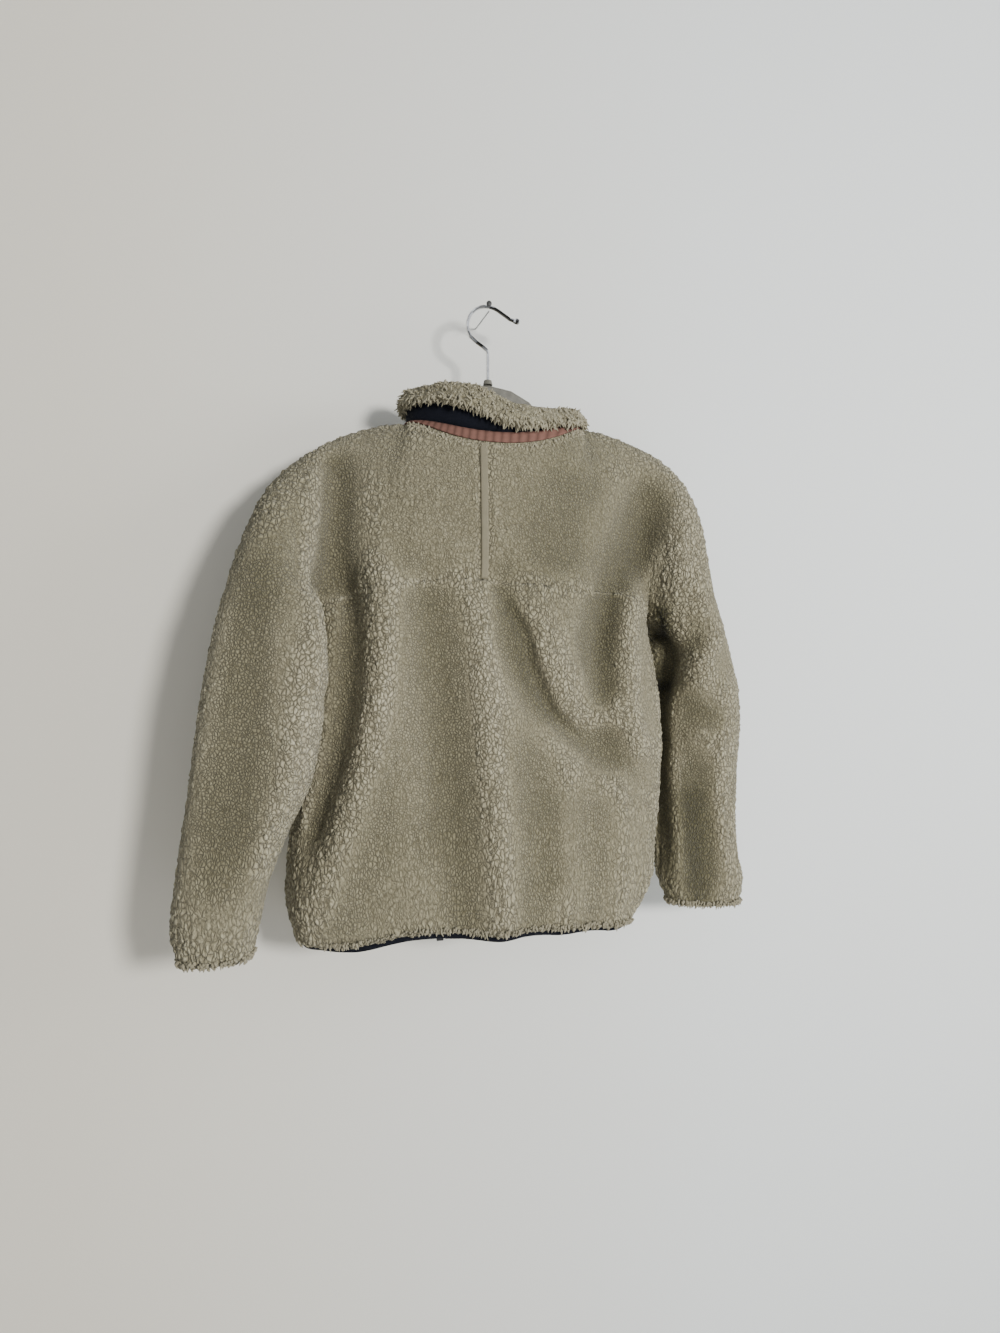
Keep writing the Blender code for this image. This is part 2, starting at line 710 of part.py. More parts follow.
def cut_piece(surface, points, out, depths, piece, finish):
    """A cut piece: its region of the master surface, drawn in at its edges and given its wall."""
    bm = bmesh.new()
    inwards = bm.verts.layers.float_vector.new("inwards")
    number = bm.verts.layers.int.new("number")
    made = {}
    for corners, owner in zip(surface.faces, surface.pieces):
        if owner != piece:
            continue
        for index in corners:
            if index not in made:
                made[index] = bm.verts.new(points[index])
                made[index][inwards] = out[index] * -depths[index]
                made[index][number] = index
        bm.faces.new([made[index] for index in corners])
    for vert, move in seam_allowances(bm).items():
        vert.co = np.array(vert.co) + move
    extruded = bmesh.ops.extrude_face_region(bm, geom=bm.faces[:])
    inner = {item for item in extruded["geom"] if isinstance(item, bmesh.types.BMVert)}
    for vert in inner:
        vert.co += vert[inwards]
    # Both pieces at a seam split their edge faces along the same diagonals, so the gap stays even.
    for face in bm.faces[:]:
        inside = [vert for vert in face.verts if vert in inner]
        outside = [vert for vert in face.verts if vert not in inner]
        if inside and outside:
            lowest = min(outside, key=lambda vert: vert[number])
            bmesh.utils.face_split(face, lowest, max(inside, key=lambda vert: vert[number]))
    return place_object(piece, finish_mesh(bm, piece), finish)


def swept(name, sections, finish, ring=False, smooth_angle=40):
    """A closed body through sections, each a list of the same number of points."""
    bm = bmesh.new()
    loops = [[bm.verts.new(place) for place in section] for section in sections]
    count = len(loops[0])
    pairs = list(zip(loops, loops[1:])) + ([(loops[-1], loops[0])] if ring else [])
    for first, second in pairs:
        for k in range(count):
            bm.faces.new((first[k], first[(k + 1) % count], second[(k + 1) % count], second[k]))
    if not ring:
        bm.faces.new(loops[0])
        bm.faces.new(loops[-1])
    return place_object(name, finish_mesh(bm, name), finish, smooth_angle)


def box_between(bm, low, high):
    """A box between two corners, added to a bmesh. Returns its points."""
    low, high = np.array(low), np.array(high)
    made = bmesh.ops.create_cube(bm, size=1)["verts"]
    for vert in made:
        vert.co = (low + high) / 2 + np.array(vert.co) * (high - low)
    return made


def round_edges(bm, edges, width, segments=2):
    bmesh.ops.bevel(bm, geom=edges, offset=width, segments=segments, profile=0.5,
                    affect="EDGES", material=-1)


def box_mesh(name, low, high, rounding, segments=2):
    bm = bmesh.new()
    box_between(bm, low, high)
    round_edges(bm, bm.edges[:], rounding, segments)
    return finish_mesh(bm, name)


# ---------------------------------------------------------------- trims on the cloth
def make_strip(points, out, back, finish):
    """The smooth flat strip over the yoke's centre seam."""
    middle = COLUMNS // 2
    sections = []
    for row in range(0, YOKE_ROWS + 1):
        index = back[row][middle]
        place, normal = points[index].copy(), out[index]
        if row == 0:
            place += (points[back[1][middle]] - place) * 0.9
        if row == YOKE_ROWS:
            place += (points[back[row - 1][middle]] - place) * 0.12
        side = unit(np.cross(normal, point(0, 0, 1)))
        low, high = normal * RESTING_GAP, normal * (RESTING_GAP + STRIP_WALL)
        half = side * STRIP_WIDTH / 2
        sections.append([place + low - half, place + low + half,
                         place + high + half * 0.9, place + high - half * 0.9])
    return swept("centre_back_strip", sections, finish)


def make_neck_tape(points, out, back, finish):
    """Ribbed tape that covers the yoke's upper edge, from shoulder to shoulder."""
    sections = []
    for column in range(SHOULDER_COLUMNS, COLUMNS - SHOULDER_COLUMNS + 1):
        edge, below = points[back[0][column]], points[back[1][column]]
        normal_edge, normal_below = out[back[0][column]], out[back[1][column]]
        down = min(0.96, TAPE_HEIGHT / np.linalg.norm(below - edge))
        top = edge + (below - edge) * 0.04
        bottom = edge + (below - edge) * down
        normal_bottom = unit(normal_edge + (normal_below - normal_edge) * down)
        sections.append([
            top + normal_edge * TAPE_LIFT,
            bottom + normal_bottom * TAPE_LIFT,
            bottom + normal_bottom * (TAPE_LIFT + TAPE_WALL),
            top + normal_edge * (TAPE_LIFT + TAPE_WALL),
        ])
    return swept("neck_tape", sections, finish)


def hem_loop(back, front):
    """The hem's points and those of the row above, from the zip's right round the back to its left."""
    half, rows = COLUMNS // 2, YOKE_ROWS + BODY_ROWS
    order = [(front, column) for column in range(half + 1, COLUMNS + 2)]
    order += [(back, column) for column in range(COLUMNS - 1, -1, -1)]
    order += [(front, column) for column in range(1, half + 1)]
    return [(sheet[rows][column], sheet[rows - 1][column]) for sheet, column in order]


def make_binding(points, out, back, front, finish):
    sections = []
    for index, above in hem_loop(back, front):
        down = unit(points[index] - points[above])
        start = points[index] - out[index] * BINDING_SET_BACK + down * BINDING_GAP
        inner = out[index] * -BINDING_WALL
        drop = down * BINDING_HEIGHT
        sections.append([start, start + drop * 0.75, start + drop + inner * 0.25,
                         start + drop + inner * 0.75, start + drop * 0.75 + inner, start + inner])
    return swept("hem_binding", sections, finish)


# ---------------------------------------------------------------- the collar
def neck_loop(points, back, front):
    """The neck seam from the zip's left, round the back, to its right: place, way in, angle."""
    half, last = COLUMNS // 2, COLUMNS
    order = [(front, column, 1) for column in range(half, SHOULDER_COLUMNS, -1)]
    order += [(back, SHOULDER_COLUMNS, 0)]
    order += [(back, column, 1) for column in range(SHOULDER_COLUMNS + 1, last - SHOULDER_COLUMNS)]
    order += [(back, last - SHOULDER_COLUMNS, 0)]
    order += [(front, column, 1) for column in range(last - SHOULDER_COLUMNS, half, -1)]
    found = []
    for sheet, column, below in order:
        place = points[sheet[0][column]]
        if below:
            way = unit(place - points[sheet[1][column]])
        else:
            side = -1 if column == SHOULDER_COLUMNS else 1
            way = unit(place - points[sheet[0][column + side]])
        offset = place - point(NECK_CENTRE_X, 0, 0)
        depth = NECK_BACK_DEPTH if offset[1] < 0 else NECK_FRONT_DEPTH
        angle = math.degrees(math.atan2(-offset[1] / depth, -offset[0] / NECK_HALF_WIDTH))
        found.append((place, way, angle if angle > -90 else angle + 360))
    return found


def collar_frames(points, back, front):
    """For each column of the collar: where the stand begins, its outward and upward ways, and its row."""
    loop = neck_loop(points, back, front)
    places = [place for place, _, _ in loop]
    frames = []
    for k, (place, way, angle) in enumerate(loop):
        before, after = places[max(k - 1, 0)], places[min(k + 1, len(places) - 1)]
        along = unit((after - before) * point(1, 1, 0))
        outward = np.cross(along, point(0, 0, 1))
        outward = unit(outward * math.copysign(1, outward @ (place - point(NECK_CENTRE_X, 0, place[2]))))
        row = Collar(*through(COLLAR, angle if angle < 265 else angle - 360))
        up = unit(point(0, 0, 1) + outward * math.tan(math.radians(row.lean)))
        frames.append((place + way * (SEAM_GAP + 0.1 * MM), outward, up, row))
    return frames


def make_stand(frames, finish):
    sections = []
    for base, outward, up, row in frames:
        rise = up * (row.height * MM - FACING_WALL - SEAM_GAP)
        inner = outward * -STAND_WALL
        sections.append([base, base + rise, base + rise + inner, base + inner])
    return swept("collar_stand", sections, finish)


def make_facing(frames, finish):
    """The fleece facing: up the inside of the stand, over its top and down the outside as a soft roll."""
    gap = RESTING_GAP
    inner_radius = STAND_WALL / 2 + gap
    outer_radius = inner_radius + FACING_WALL
    sections = []
    for base, outward, up, row in frames:
        rise = row.height * MM - FACING_WALL - SEAM_GAP
        centre = base + up * rise - outward * STAND_WALL / 2
        flap, flare = row.flap * MM - outer_radius, row.flare * MM

        def at(out_by, up_by):
            return centre + outward * out_by + up * up_by

        outer = [at(-outer_radius, -rise + gap), at(-outer_radius, 0)]
        outer += [at(outer_radius * math.cos(a), outer_radius * math.sin(a))
                  for a in np.radians([135, 90, 45, 0])]
        outer += [at(outer_radius + flare * 0.8, -flap * 0.5), at(outer_radius + flare, -flap + 3 * MM),
                  at(outer_radius + flare - 2 * MM, -flap)]
        inner = [at(inner_radius + flare * 0.7, -flap), at(inner_radius + flare * 0.3, -flap * 0.5)]
        inner += [at(inner_radius * math.cos(a), inner_radius * math.sin(a))
                  for a in np.radians([0, 60, 120])]
        inner += [at(-inner_radius, 0), at(-inner_radius, -rise + gap)]
        sections.append(outer + inner)
    return swept("collar_facing", sections, finish, smooth_angle=60)


# ---------------------------------------------------------------- the zip
def zip_line(points, out, front, frames):
    """The zip's middle line with its outward way, from the hem to the collar's top."""
    half = COLUMNS // 2
    line = []
    for row in range(YOKE_ROWS + BODY_ROWS, -1, -1):
        left, right = front[row][half], front[row][half + 1]
        way = unit((out[left] + out[right]) * point(0, 1, 1))
        line.append(((points[left] + points[right]) / 2, way))
    left, right = frames[0], frames[-1]
    base, up, outward = (left[0] + right[0]) / 2, unit(left[2] + right[2]), unit(left[1] + right[1])
    outward = unit(outward * point(0, 1, 1))
    rise = (left[3].height * MM - FACING_WALL) * 0.8
    line += [(base + up * rise * t, outward) for t in (0.3, 0.65, 1.0)]
    return line


def zip_section(place, way, low, high, depth, wall):
    """A flat section across the zip from x low to high, its face set back by depth."""
    face, rear = way * -depth, way * -(depth + wall)
    return [place + point(low, 0, 0) + face, place + point(high, 0, 0) + face,
            place + point(high, 0, 0) + rear, place + point(low, 0, 0) + rear]


def make_zip(line, navy, metal):
    inner, outer = CHAIN_WIDTH / 2 + SEAM_GAP, ZIP_GAP / 2 - 1.5 * SEAM_GAP
    for name, low, high in (("zip_tape_left", -outer, -inner), ("zip_tape_right", inner, outer)):
        sections = [zip_section(place, way, low, high, ZIP_TAPE_SET_BACK, ZIP_TAPE_WALL)
                    for place, way in line]
        swept(name, sections, navy)
    half = CHAIN_WIDTH / 2
    sections = [zip_section(place, way, -half, half, CHAIN_SET_BACK, CHAIN_WALL) for place, way in line]
    swept("zip_chain", sections, navy)
    place, way = line[0]
    wide = CHAIN_WIDTH / 2 + ZIP_BOX_SPARE
    low = point(-wide, -ZIP_BOX_DEPTH, -BINDING_HEIGHT - ZIP_BOX_DROP)
    high = point(wide, 0, -SEAM_GAP)
    place = place - way * ZIP_BOX_SET_BACK
    place_object("zip_box", box_mesh("zip_box", place + low, place + high, 0.8 * MM), navy)
    make_slider(line, metal)


def make_slider(line, metal):
    """The slider with its crown, and the pull tab whose bar is caught under the crown."""
    (below, _), (top, way) = line[-2], line[-1]
    middle = top + unit(below - top) * SLIDER_LENGTH / 2
    face = middle + way * (SLIDER_GAP - CHAIN_SET_BACK)
    tilt = math.atan2(way[2], way[1])
    bm = bmesh.new()
    for vert in box_between(bm, (-SLIDER_WIDTH / 2, 0, -SLIDER_LENGTH / 2),
                            (SLIDER_WIDTH / 2, SLIDER_THICKNESS, SLIDER_LENGTH / 2)):
        vert.co.x *= 1.0 if vert.co.z > 0 else 0.7
    round_edges(bm, bm.edges[:], 0.6 * MM)
    body = place_object("zip_slider", finish_mesh(bm, "zip_slider"), metal)
    body.location, body.rotation_euler = face, (tilt, 0, 0)
    crown = bpy.data.objects.new("crown", crown_mesh())
    crown.location, crown.rotation_euler = body.location, body.rotation_euler
    crown.hide_render, crown.display_type = True, "WIRE"
    bpy.context.scene.collection.objects.link(crown)
    union = body.modifiers.new("crown", "BOOLEAN")
    union.operation, union.object = "UNION", crown
    make_tab(face + way * (SLIDER_THICKNESS + CROWN_HEIGHT / 2), tilt, metal)


def crown_mesh():
    """An arch along the slider, its feet sunk into the slider's face."""
    half, inside = CROWN_WIDTH / 2, CROWN_LENGTH / 2
    foot, under = SLIDER_THICKNESS - 1 * MM, SLIDER_THICKNESS + CROWN_HEIGHT
    profile = [(foot, -inside - CROWN_WALL), (under - 1 * MM, -inside - CROWN_WALL),
               (under + CROWN_WALL, -inside + 1 * MM), (under + CROWN_WALL, inside - 1 * MM),
               (under - 1 * MM, inside + CROWN_WALL), (foot, inside + CROWN_WALL),
               (foot, inside), (under - 1 * MM, inside), (under, inside - 1 * MM),
               (under, -inside + 1 * MM), (under - 1 * MM, -inside), (foot, -inside)]
    bm = bmesh.new()
    face = bm.faces.new([bm.verts.new((-half, y, z)) for y, z in profile])
    grown = bmesh.ops.extrude_face_region(bm, geom=[face])
    bmesh.ops.translate(bm, vec=(2 * half, 0, 0),
                        verts=[item for item in grown["geom"] if isinstance(item, bmesh.types.BMVert)])
    return finish_mesh(bm, "crown")


def make_tab(axis, tilt, metal):
    """A flat tab with a slot. It swings on the bar above its slot, which is its origin."""
    bm = bmesh.new()
    bar = TAB_THICKNESS / 2
    for vert in box_between(bm, (-TAB_WIDTH / 2, -bar, bar - TAB_LENGTH), (TAB_WIDTH / 2, bar, bar)):
        vert.co.x *= 1.0 if vert.co.z < 0 else 0.85
    round_edges(bm, bm.edges[:], 0.4 * MM)
    tab = place_object("zip_pull_tab", finish_mesh(bm, "zip_pull_tab"), metal)
    slot_mesh = box_mesh("tab_slot", (-TAB_SLOT_WIDTH / 2, -0.01, -bar - TAB_SLOT_LENGTH),
                         (TAB_SLOT_WIDTH / 2, 0.01, -bar), 0.3 * MM, 1)
    slot = bpy.data.objects.new("tab_slot", slot_mesh)
    slot.hide_render, slot.display_type = True, "WIRE"
    bpy.context.scene.collection.objects.link(slot)
    cut = tab.modifiers.new("slot", "BOOLEAN")
    cut.operation, cut.object = "DIFFERENCE", slot
    for made in (tab, slot):
        made.location, made.rotation_euler = axis, (tilt, 0, 0)


# ---------------------------------------------------------------- the hanger
def arm_tops(points, out, depths, back, front, side):
    """The arm's top from the neck outwards, as high as its rounded edge fits under the cloth."""
    half = HANGER_THICKNESS / 2
    turn = (1 - math.cos(math.pi / 4)) * HANGER_BEVEL
    profile = ((half, HANGER_BEVEL), (half - turn, turn), (half - HANGER_BEVEL, 0))

    def underside(sheet, row):
        columns = range(SHOULDER_COLUMNS + 1)
        indices = [sheet[row][step if side < 0 else len(sheet[0]) - 1 - step] for step in columns]
        places = np.array([points[i] - out[i] * depths[i] for i in indices])
        return places[np.argsort(places[:, 0])]

    tops = []
    rows = [underside(sheet, row) for sheet in (back, front) for row in (1, 2)]
    crest = underside(back, 0)
    inner_columns = crest[ARM_FIRST_COLUMN:] if side < 0 else crest[: len(crest) - ARM_FIRST_COLUMN]
    for top in inner_columns[:: 1 if side > 0 else -1]:
        lower = 0
        for row in rows:
            y, z = (np.interp(top[0], row[:, 0], row[:, axis]) for axis in (1, 2))
            slope = (top[2] - z) / abs(y - top[1])
            lower = max([lower] + [away * slope - down for away, down in profile])
        tops.append(top - point(0, 0, lower + ARM_GAP))
    return tops


def make_hanger(points, out, depths, back, front, plastic):
    left = arm_tops(points, out, depths, back, front, -1)
    right = arm_tops(points, out, depths, back, front, 1)
    rise = [point(level.x * MM, 0, HANGER_TOP + level.height * MM) for level in HANGER_RISE]
    top = left[::-1] + rise + right
    tip_left, tip_right = top[0] + point(-6 * MM, 0, -6 * MM), top[-1] + point(6 * MM, 0, -6 * MM)
    upper = np.array([place * point(1, 0, 1) for place in top])
    ways = np.gradient(upper, axis=0)
    lower = []
    for place, way in zip(upper, ways):
        down = unit(point(way[2], 0, -way[0]))
        lower.append(place + down * HANGER_DEPTH)
    outline = [tip_left * point(1, 0, 1)] + list(upper) + [tip_right * point(1, 0, 1)] + lower[::-1]
    bm = bmesh.new()
    half = point(0, HANGER_THICKNESS / 2, 0)
    face = bm.faces.new([bm.verts.new(place - half) for place in outline])
    grown = bmesh.ops.extrude_face_region(bm, geom=[face])
    for item in grown["geom"]:
        if isinstance(item, bmesh.types.BMVert):
            item.co.y += HANGER_THICKNESS
    rims = [edge for edge in bm.edges if abs(edge.verts[0].co.y - edge.verts[1].co.y) < 1e-6]
    round_edges(bm, rims, HANGER_BEVEL)
    place_object("hanger_body", finish_mesh(bm, "hanger_body"), plastic)


def make_boss(plastic):
    bm = bmesh.new()
    bmesh.ops.create_cone(bm, segments=16, radius1=BOSS_RADIUS, radius2=BOSS_RADIUS * 0.8,
                          depth=BOSS_HEIGHT, cap_ends=True)
    bottom = HANGER_TOP + RESTING_GAP
    bmesh.ops.translate(bm, verts=bm.verts, vec=(0, 0, bottom + BOSS_HEIGHT / 2))
    place_object("hook_boss", finish_mesh(bm, "hook_boss"), plastic)


def make_hook(chrome):
    """Bent wire: up from the boss, left, over the peg and out to a ball at its tip."""
    stem_foot = HANGER_TOP / MM + (BOSS_HEIGHT + RESTING_GAP + SEAM_GAP) / MM
    path = [Wire(0, stem_foot, 1), Wire(0, stem_foot + 12, 1)] + HOOK_BEND
    for degrees in range(212, 44, -14):
        a = math.radians(degrees)
        radius = HOOK_RADIUS / MM
        path.append(Wire(radius * math.cos(a), HOOK_WIRE / MM + radius * (math.sin(a) - 1), 1))
    path += HOOK_TIP
    wire = bpy.data.curves.new("hook", "CURVE")
    wire.dimensions = "3D"
    wire.bevel_depth = HOOK_WIRE
    wire.bevel_resolution = 2
    wire.use_fill_caps = True
    spline = wire.splines.new("POLY")
    spline.points.add(len(path) - 1)
    for target, place in zip(spline.points, path):
        target.co = (place.x * MM, 0, place.z * MM, 1)
        target.radius = place.radius
    wire.materials.append(chrome)
    made = bpy.data.objects.new("hook", wire)
    bpy.context.scene.collection.objects.link(made)


# ---------------------------------------------------------------- putting it together
def main():
    for old in list(bpy.data.objects):
        bpy.data.objects.remove(old)
    fleece = material("fleece", (0.44, 0.38, 0.29), 0.95)
    navy = material("navy_knit", (0.012, 0.014, 0.028), 0.8)
    pink = material("pink_tape", (0.42, 0.19, 0.16), 0.8)
    flat_fleece = material("seam_strip", (0.5, 0.45, 0.35), 0.85)
    metal = material("zip_metal", (0.35, 0.35, 0.37), 0.35, 1.0)
    plastic = material("hanger_plastic", (0.3, 0.3, 0.29), 0.45)
    chrome = material("chrome_wire", (0.8, 0.8, 0.8), 0.12, 1.0)

    surface, back, front, sleeves = build_surface()
    points = np.array(surface.points)
    relax(points, neighbours_of(surface), easing(surface, back, front, sleeves))
    points = fold_surface(points, surface.faces, back, front, sleeves)
    out = normals_of(points, surface.faces)
    depths = wall_depths(points, out, surface.faces)

    for piece in ("yoke_sleeve_left", "yoke_sleeve_right", "back_panel", "front_left", "front_right"):
        cut_piece(surface, points, out, depths, piece, fleece)
    make_strip(points, out, back, flat_fleece)
    make_neck_tape(points, out, back, pink)
    make_binding(points, out, back, front, navy)
    frames = collar_frames(points, back, front)
    make_stand(frames, navy)
    make_facing(frames, fleece)
    make_zip(zip_line(points, out, front, frames), navy, metal)
    make_hanger(points, out, depths, back, front, plastic)
    make_boss(plastic)
    make_hook(chrome)


main()
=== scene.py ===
"""The looks of a fleece jacket on a plastic hanger, seen from behind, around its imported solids."""

import math
import random

import bmesh
import bpy
import numpy as np
from mathutils import Matrix, Vector, noise
from mathutils.bvhtree import BVHTree


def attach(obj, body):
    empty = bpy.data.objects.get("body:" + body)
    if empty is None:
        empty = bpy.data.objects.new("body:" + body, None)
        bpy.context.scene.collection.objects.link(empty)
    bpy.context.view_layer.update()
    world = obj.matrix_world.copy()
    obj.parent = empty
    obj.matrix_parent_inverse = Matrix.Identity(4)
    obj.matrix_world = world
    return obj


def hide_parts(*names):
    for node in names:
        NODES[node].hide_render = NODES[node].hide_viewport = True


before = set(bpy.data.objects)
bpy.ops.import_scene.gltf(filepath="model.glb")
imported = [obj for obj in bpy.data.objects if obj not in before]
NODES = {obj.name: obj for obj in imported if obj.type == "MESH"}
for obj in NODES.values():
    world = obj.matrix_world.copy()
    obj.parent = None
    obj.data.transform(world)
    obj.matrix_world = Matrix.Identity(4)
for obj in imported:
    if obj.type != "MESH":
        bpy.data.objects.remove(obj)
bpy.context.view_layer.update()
MM = 0.001

# The photograph was taken level, from the left of the jacket's back.
FRAME_WIDTH, FRAME_HEIGHT = 1000, 1333
CAMERA_PLACE = Vector((-0.2107, -0.8404, -0.4081))
CAMERA_TURN = math.radians(15)
CAMERA_FOCUS = 760  # in the photograph's pixels
AHEAD = Vector((math.sin(CAMERA_TURN), math.cos(CAMERA_TURN), 0))
RIGHT = Vector((math.cos(CAMERA_TURN), -math.sin(CAMERA_TURN), 0))

SENSOR = 36
WALL_Y = 60 * MM
FLOOR_Z = -1.5

SHARP = math.radians(70)  # the cloth's outer side ends at an edge sharper than this
COARSE_CURL, FINE_CURL = 3.9 * MM, 2.8 * MM
LONG_PILE_DEPTH = 0.58  # below the hook's top by this much, pile hangs longer
FULL_TURN = 6.2832

# Without a seed, noise_vector's offsets follow the clock.
noise.seed_set(5)


# ---------------------------------------------------------------- shader trees


class Tree:
    """A node tree, with short ways to add a node and to set or join its inputs."""

    def __init__(self, tree):
        self.tree = tree

    def add(self, kind, inputs=None, **settings):
        node = self.tree.nodes.new(kind)
        for name, value in settings.items():
            setattr(node, name, value)
        for name, value in (inputs or {}).items():
            if isinstance(value, bpy.types.NodeSocket):
                self.tree.links.new(value, node.inputs[name])
            else:
                node.inputs[name].default_value = value
        return node

    def maths(self, operation, first, second=0.0, clamp=False):
        node = self.add("ShaderNodeMath", {0: first, 1: second}, operation=operation)
        node.use_clamp = clamp
        return node.outputs[0]

    def remap(self, value, low, high, out_low=0.0, out_high=1.0):
        node = self.add(
            "ShaderNodeMapRange",
            {
                "Value": value, "From Min": low, "From Max": high,
                "To Min": out_low, "To Max": out_high,
            },
        )
        return node.outputs[0]

    def mix(self, factor, first, second, blend="MIX"):
        node = self.add("ShaderNodeMix", data_type="RGBA", blend_type=blend)
        sockets = (node.inputs[0], node.inputs[6], node.inputs[7])
        for socket, value in zip(sockets, (factor, first, second)):
            if isinstance(value, bpy.types.NodeSocket):
                self.tree.links.new(value, socket)
            else:
                socket.default_value = value
        return node.outputs[2]

    def bump(self, height, strength, distance):
        return self.add(
            "ShaderNodeBump", {"Height": height, "Strength": strength, "Distance": distance}
        ).outputs[0]

    def place(self):
        return self.add("ShaderNodeTexCoord").outputs["Object"]

    def attribute(self, name):
        return self.add("ShaderNodeAttribute", attribute_name=name).outputs["Fac"]


def colour(red, green, blue):
    """A colour from its screen values, 0 to 255, for a shader's linear socket."""
    def linear(value):
        value /= 255
        return value / 12.92 if value <= 0.04045 else ((value + 0.055) / 1.055) ** 2.4
    return (linear(red), linear(green), linear(blue), 1.0)


def group(name, inputs, outputs):
    """A shader node group, its inputs as {name: first value} and its outputs as {name: kind}."""
    tree = bpy.data.node_groups.new(name, "ShaderNodeTree")
    for label, value in inputs.items():
        socket = tree.interface.new_socket(label, in_out="INPUT", socket_type="NodeSocketFloat")
        socket.default_value = value
    for label, kind in outputs.items():
        tree.interface.new_socket(label, in_out="OUTPUT", socket_type=kind)
    made = Tree(tree)
    start = made.add("NodeGroupInput")
    end = made.add("NodeGroupOutput")
    return made, start.outputs, end


def use_group(tree, name, inputs):
    node = tree.add("ShaderNodeGroup")
    node.node_tree = bpy.data.node_groups[name]
    for label, value in inputs.items():
        if isinstance(value, bpy.types.NodeSocket):
            tree.tree.links.new(value, node.inputs[label])
        else:
            node.inputs[label].default_value = value
    return node.outputs


def make_groups():
    tree, given, end = group(
        "patchy_tone", {"Patch": 0.05, "Amount": 0.1}, {"Tone": "NodeSocketFloat"}
    )
    scale = tree.maths("DIVIDE", 1.0, given["Patch"])
    cloud = tree.add(
        "ShaderNodeTexNoise",
        {"Vector": tree.place(), "Scale": scale, "Detail": 3.0, "Roughness": 0.55},
    ).outputs["Fac"]
    centred = tree.maths("SUBTRACT", cloud, 0.5)
    tone = tree.maths("ADD", tree.maths("MULTIPLY", centred, given["Amount"]), 1.0)
    tree.tree.links.new(tone, end.inputs["Tone"])

    tree, given, end = group(
        "fine_fibre", {"Fibre": 0.001, "Stretch": 3.0}, {"Height": "NodeSocketFloat"}
    )
    across = tree.maths("DIVIDE", 1.0, given["Fibre"])
    along = tree.maths("DIVIDE", across, given["Stretch"])
    size = tree.add("ShaderNodeCombineXYZ", {"X": across, "Y": across, "Z": along}).outputs[0]
    spot = tree.add(
        "ShaderNodeVectorMath", {0: tree.place(), 1: size}, operation="MULTIPLY"
    ).outputs[0]
    strand = tree.add(
        "ShaderNodeTexNoise", {"Vector": spot, "Scale": 1.0, "Detail": 2.0, "Distortion": 0.6}
    ).outputs["Fac"]
    tree.tree.links.new(strand, end.inputs["Height"])

    # Curls of pile lie side by side with soft gaps, and hang longer near the hem and cuffs.
    tree, given, end = group(
        "curls", {"Size": 0.005, "Stretch": 1.3, "Bend": 0.004},
        {"Height": "NodeSocketFloat", "Gap": "NodeSocketFloat"},
    )
    parts = tree.add("ShaderNodeSeparateXYZ", {0: tree.place()}).outputs
    below = tree.maths("MINIMUM", tree.maths("ADD", parts[2], LONG_PILE_DEPTH), 0.0)
    hung = tree.maths("SUBTRACT", parts[2], tree.maths("MULTIPLY", below, 0.35))
    spot = tree.add(
        "ShaderNodeCombineXYZ", {"X": parts[0], "Y": parts[1], "Z": hung}
    ).outputs[0]
    waves = tree.add(
        "ShaderNodeTexNoise", {"Vector": tree.place(), "Scale": 110.0, "Detail": 1.0}
    ).outputs["Color"]
    centred = tree.add(
        "ShaderNodeVectorMath", {0: waves, 1: (0.5, 0.5, 0.5)}, operation="SUBTRACT"
    ).outputs[0]
    drift = tree.add(
        "ShaderNodeVectorMath", {0: centred, "Scale": given["Bend"]}, operation="SCALE"
    ).outputs[0]
    moved = tree.add("ShaderNodeVectorMath", {0: spot, 1: drift}, operation="ADD").outputs[0]
    across = tree.maths("DIVIDE", 1.0, given["Size"])
    along = tree.maths("DIVIDE", across, given["Stretch"])
    scale = tree.add("ShaderNodeCombineXYZ", {"X": across, "Y": across, "Z": along}).outputs[0]
    cells = tree.add("ShaderNodeVectorMath", {0: moved, 1: scale}, operation="MULTIPLY").outputs[0]
    edge = tree.add(
        "ShaderNodeTexVoronoi", {"Vector": cells, "Scale": 1.0}, feature="DISTANCE_TO_EDGE"
    ).outputs["Distance"]
    dome = tree.maths("SQRT", tree.remap(edge, 0.0, 0.46))
    tree.tree.links.new(dome, end.inputs["Height"])
    near = tree.remap(edge, 0.36, 0.0)
    tree.tree.links.new(tree.maths("MULTIPLY", near, near), end.inputs["Gap"])

    tree, given, end = group(
        "knit_ribs", {"Rib": 0.0015, "Row": 0.0012}, {"Height": "NodeSocketFloat"}
    )
    place = tree.add("ShaderNodeUVMap", uv_map="cloth").outputs[0]
    parts = tree.add("ShaderNodeSeparateXYZ", {0: place}).outputs

    def wave(value, pitch):
        angle = tree.maths("DIVIDE", tree.maths("MULTIPLY", value, FULL_TURN), pitch)
        return tree.maths("SINE", angle)

    rib = wave(parts[0], given["Rib"])
    row = wave(parts[1], given["Row"])
    both = tree.maths("ADD", tree.maths("ABSOLUTE", rib), tree.maths("MULTIPLY", row, 0.35))
    tree.tree.links.new(both, end.inputs["Height"])


def new_material(name):
    made = bpy.data.materials.new(name)
    made.use_nodes = True
    tree = Tree(made.node_tree)
    shader = made.node_tree.nodes["Principled BSDF"]
    return made, tree, shader


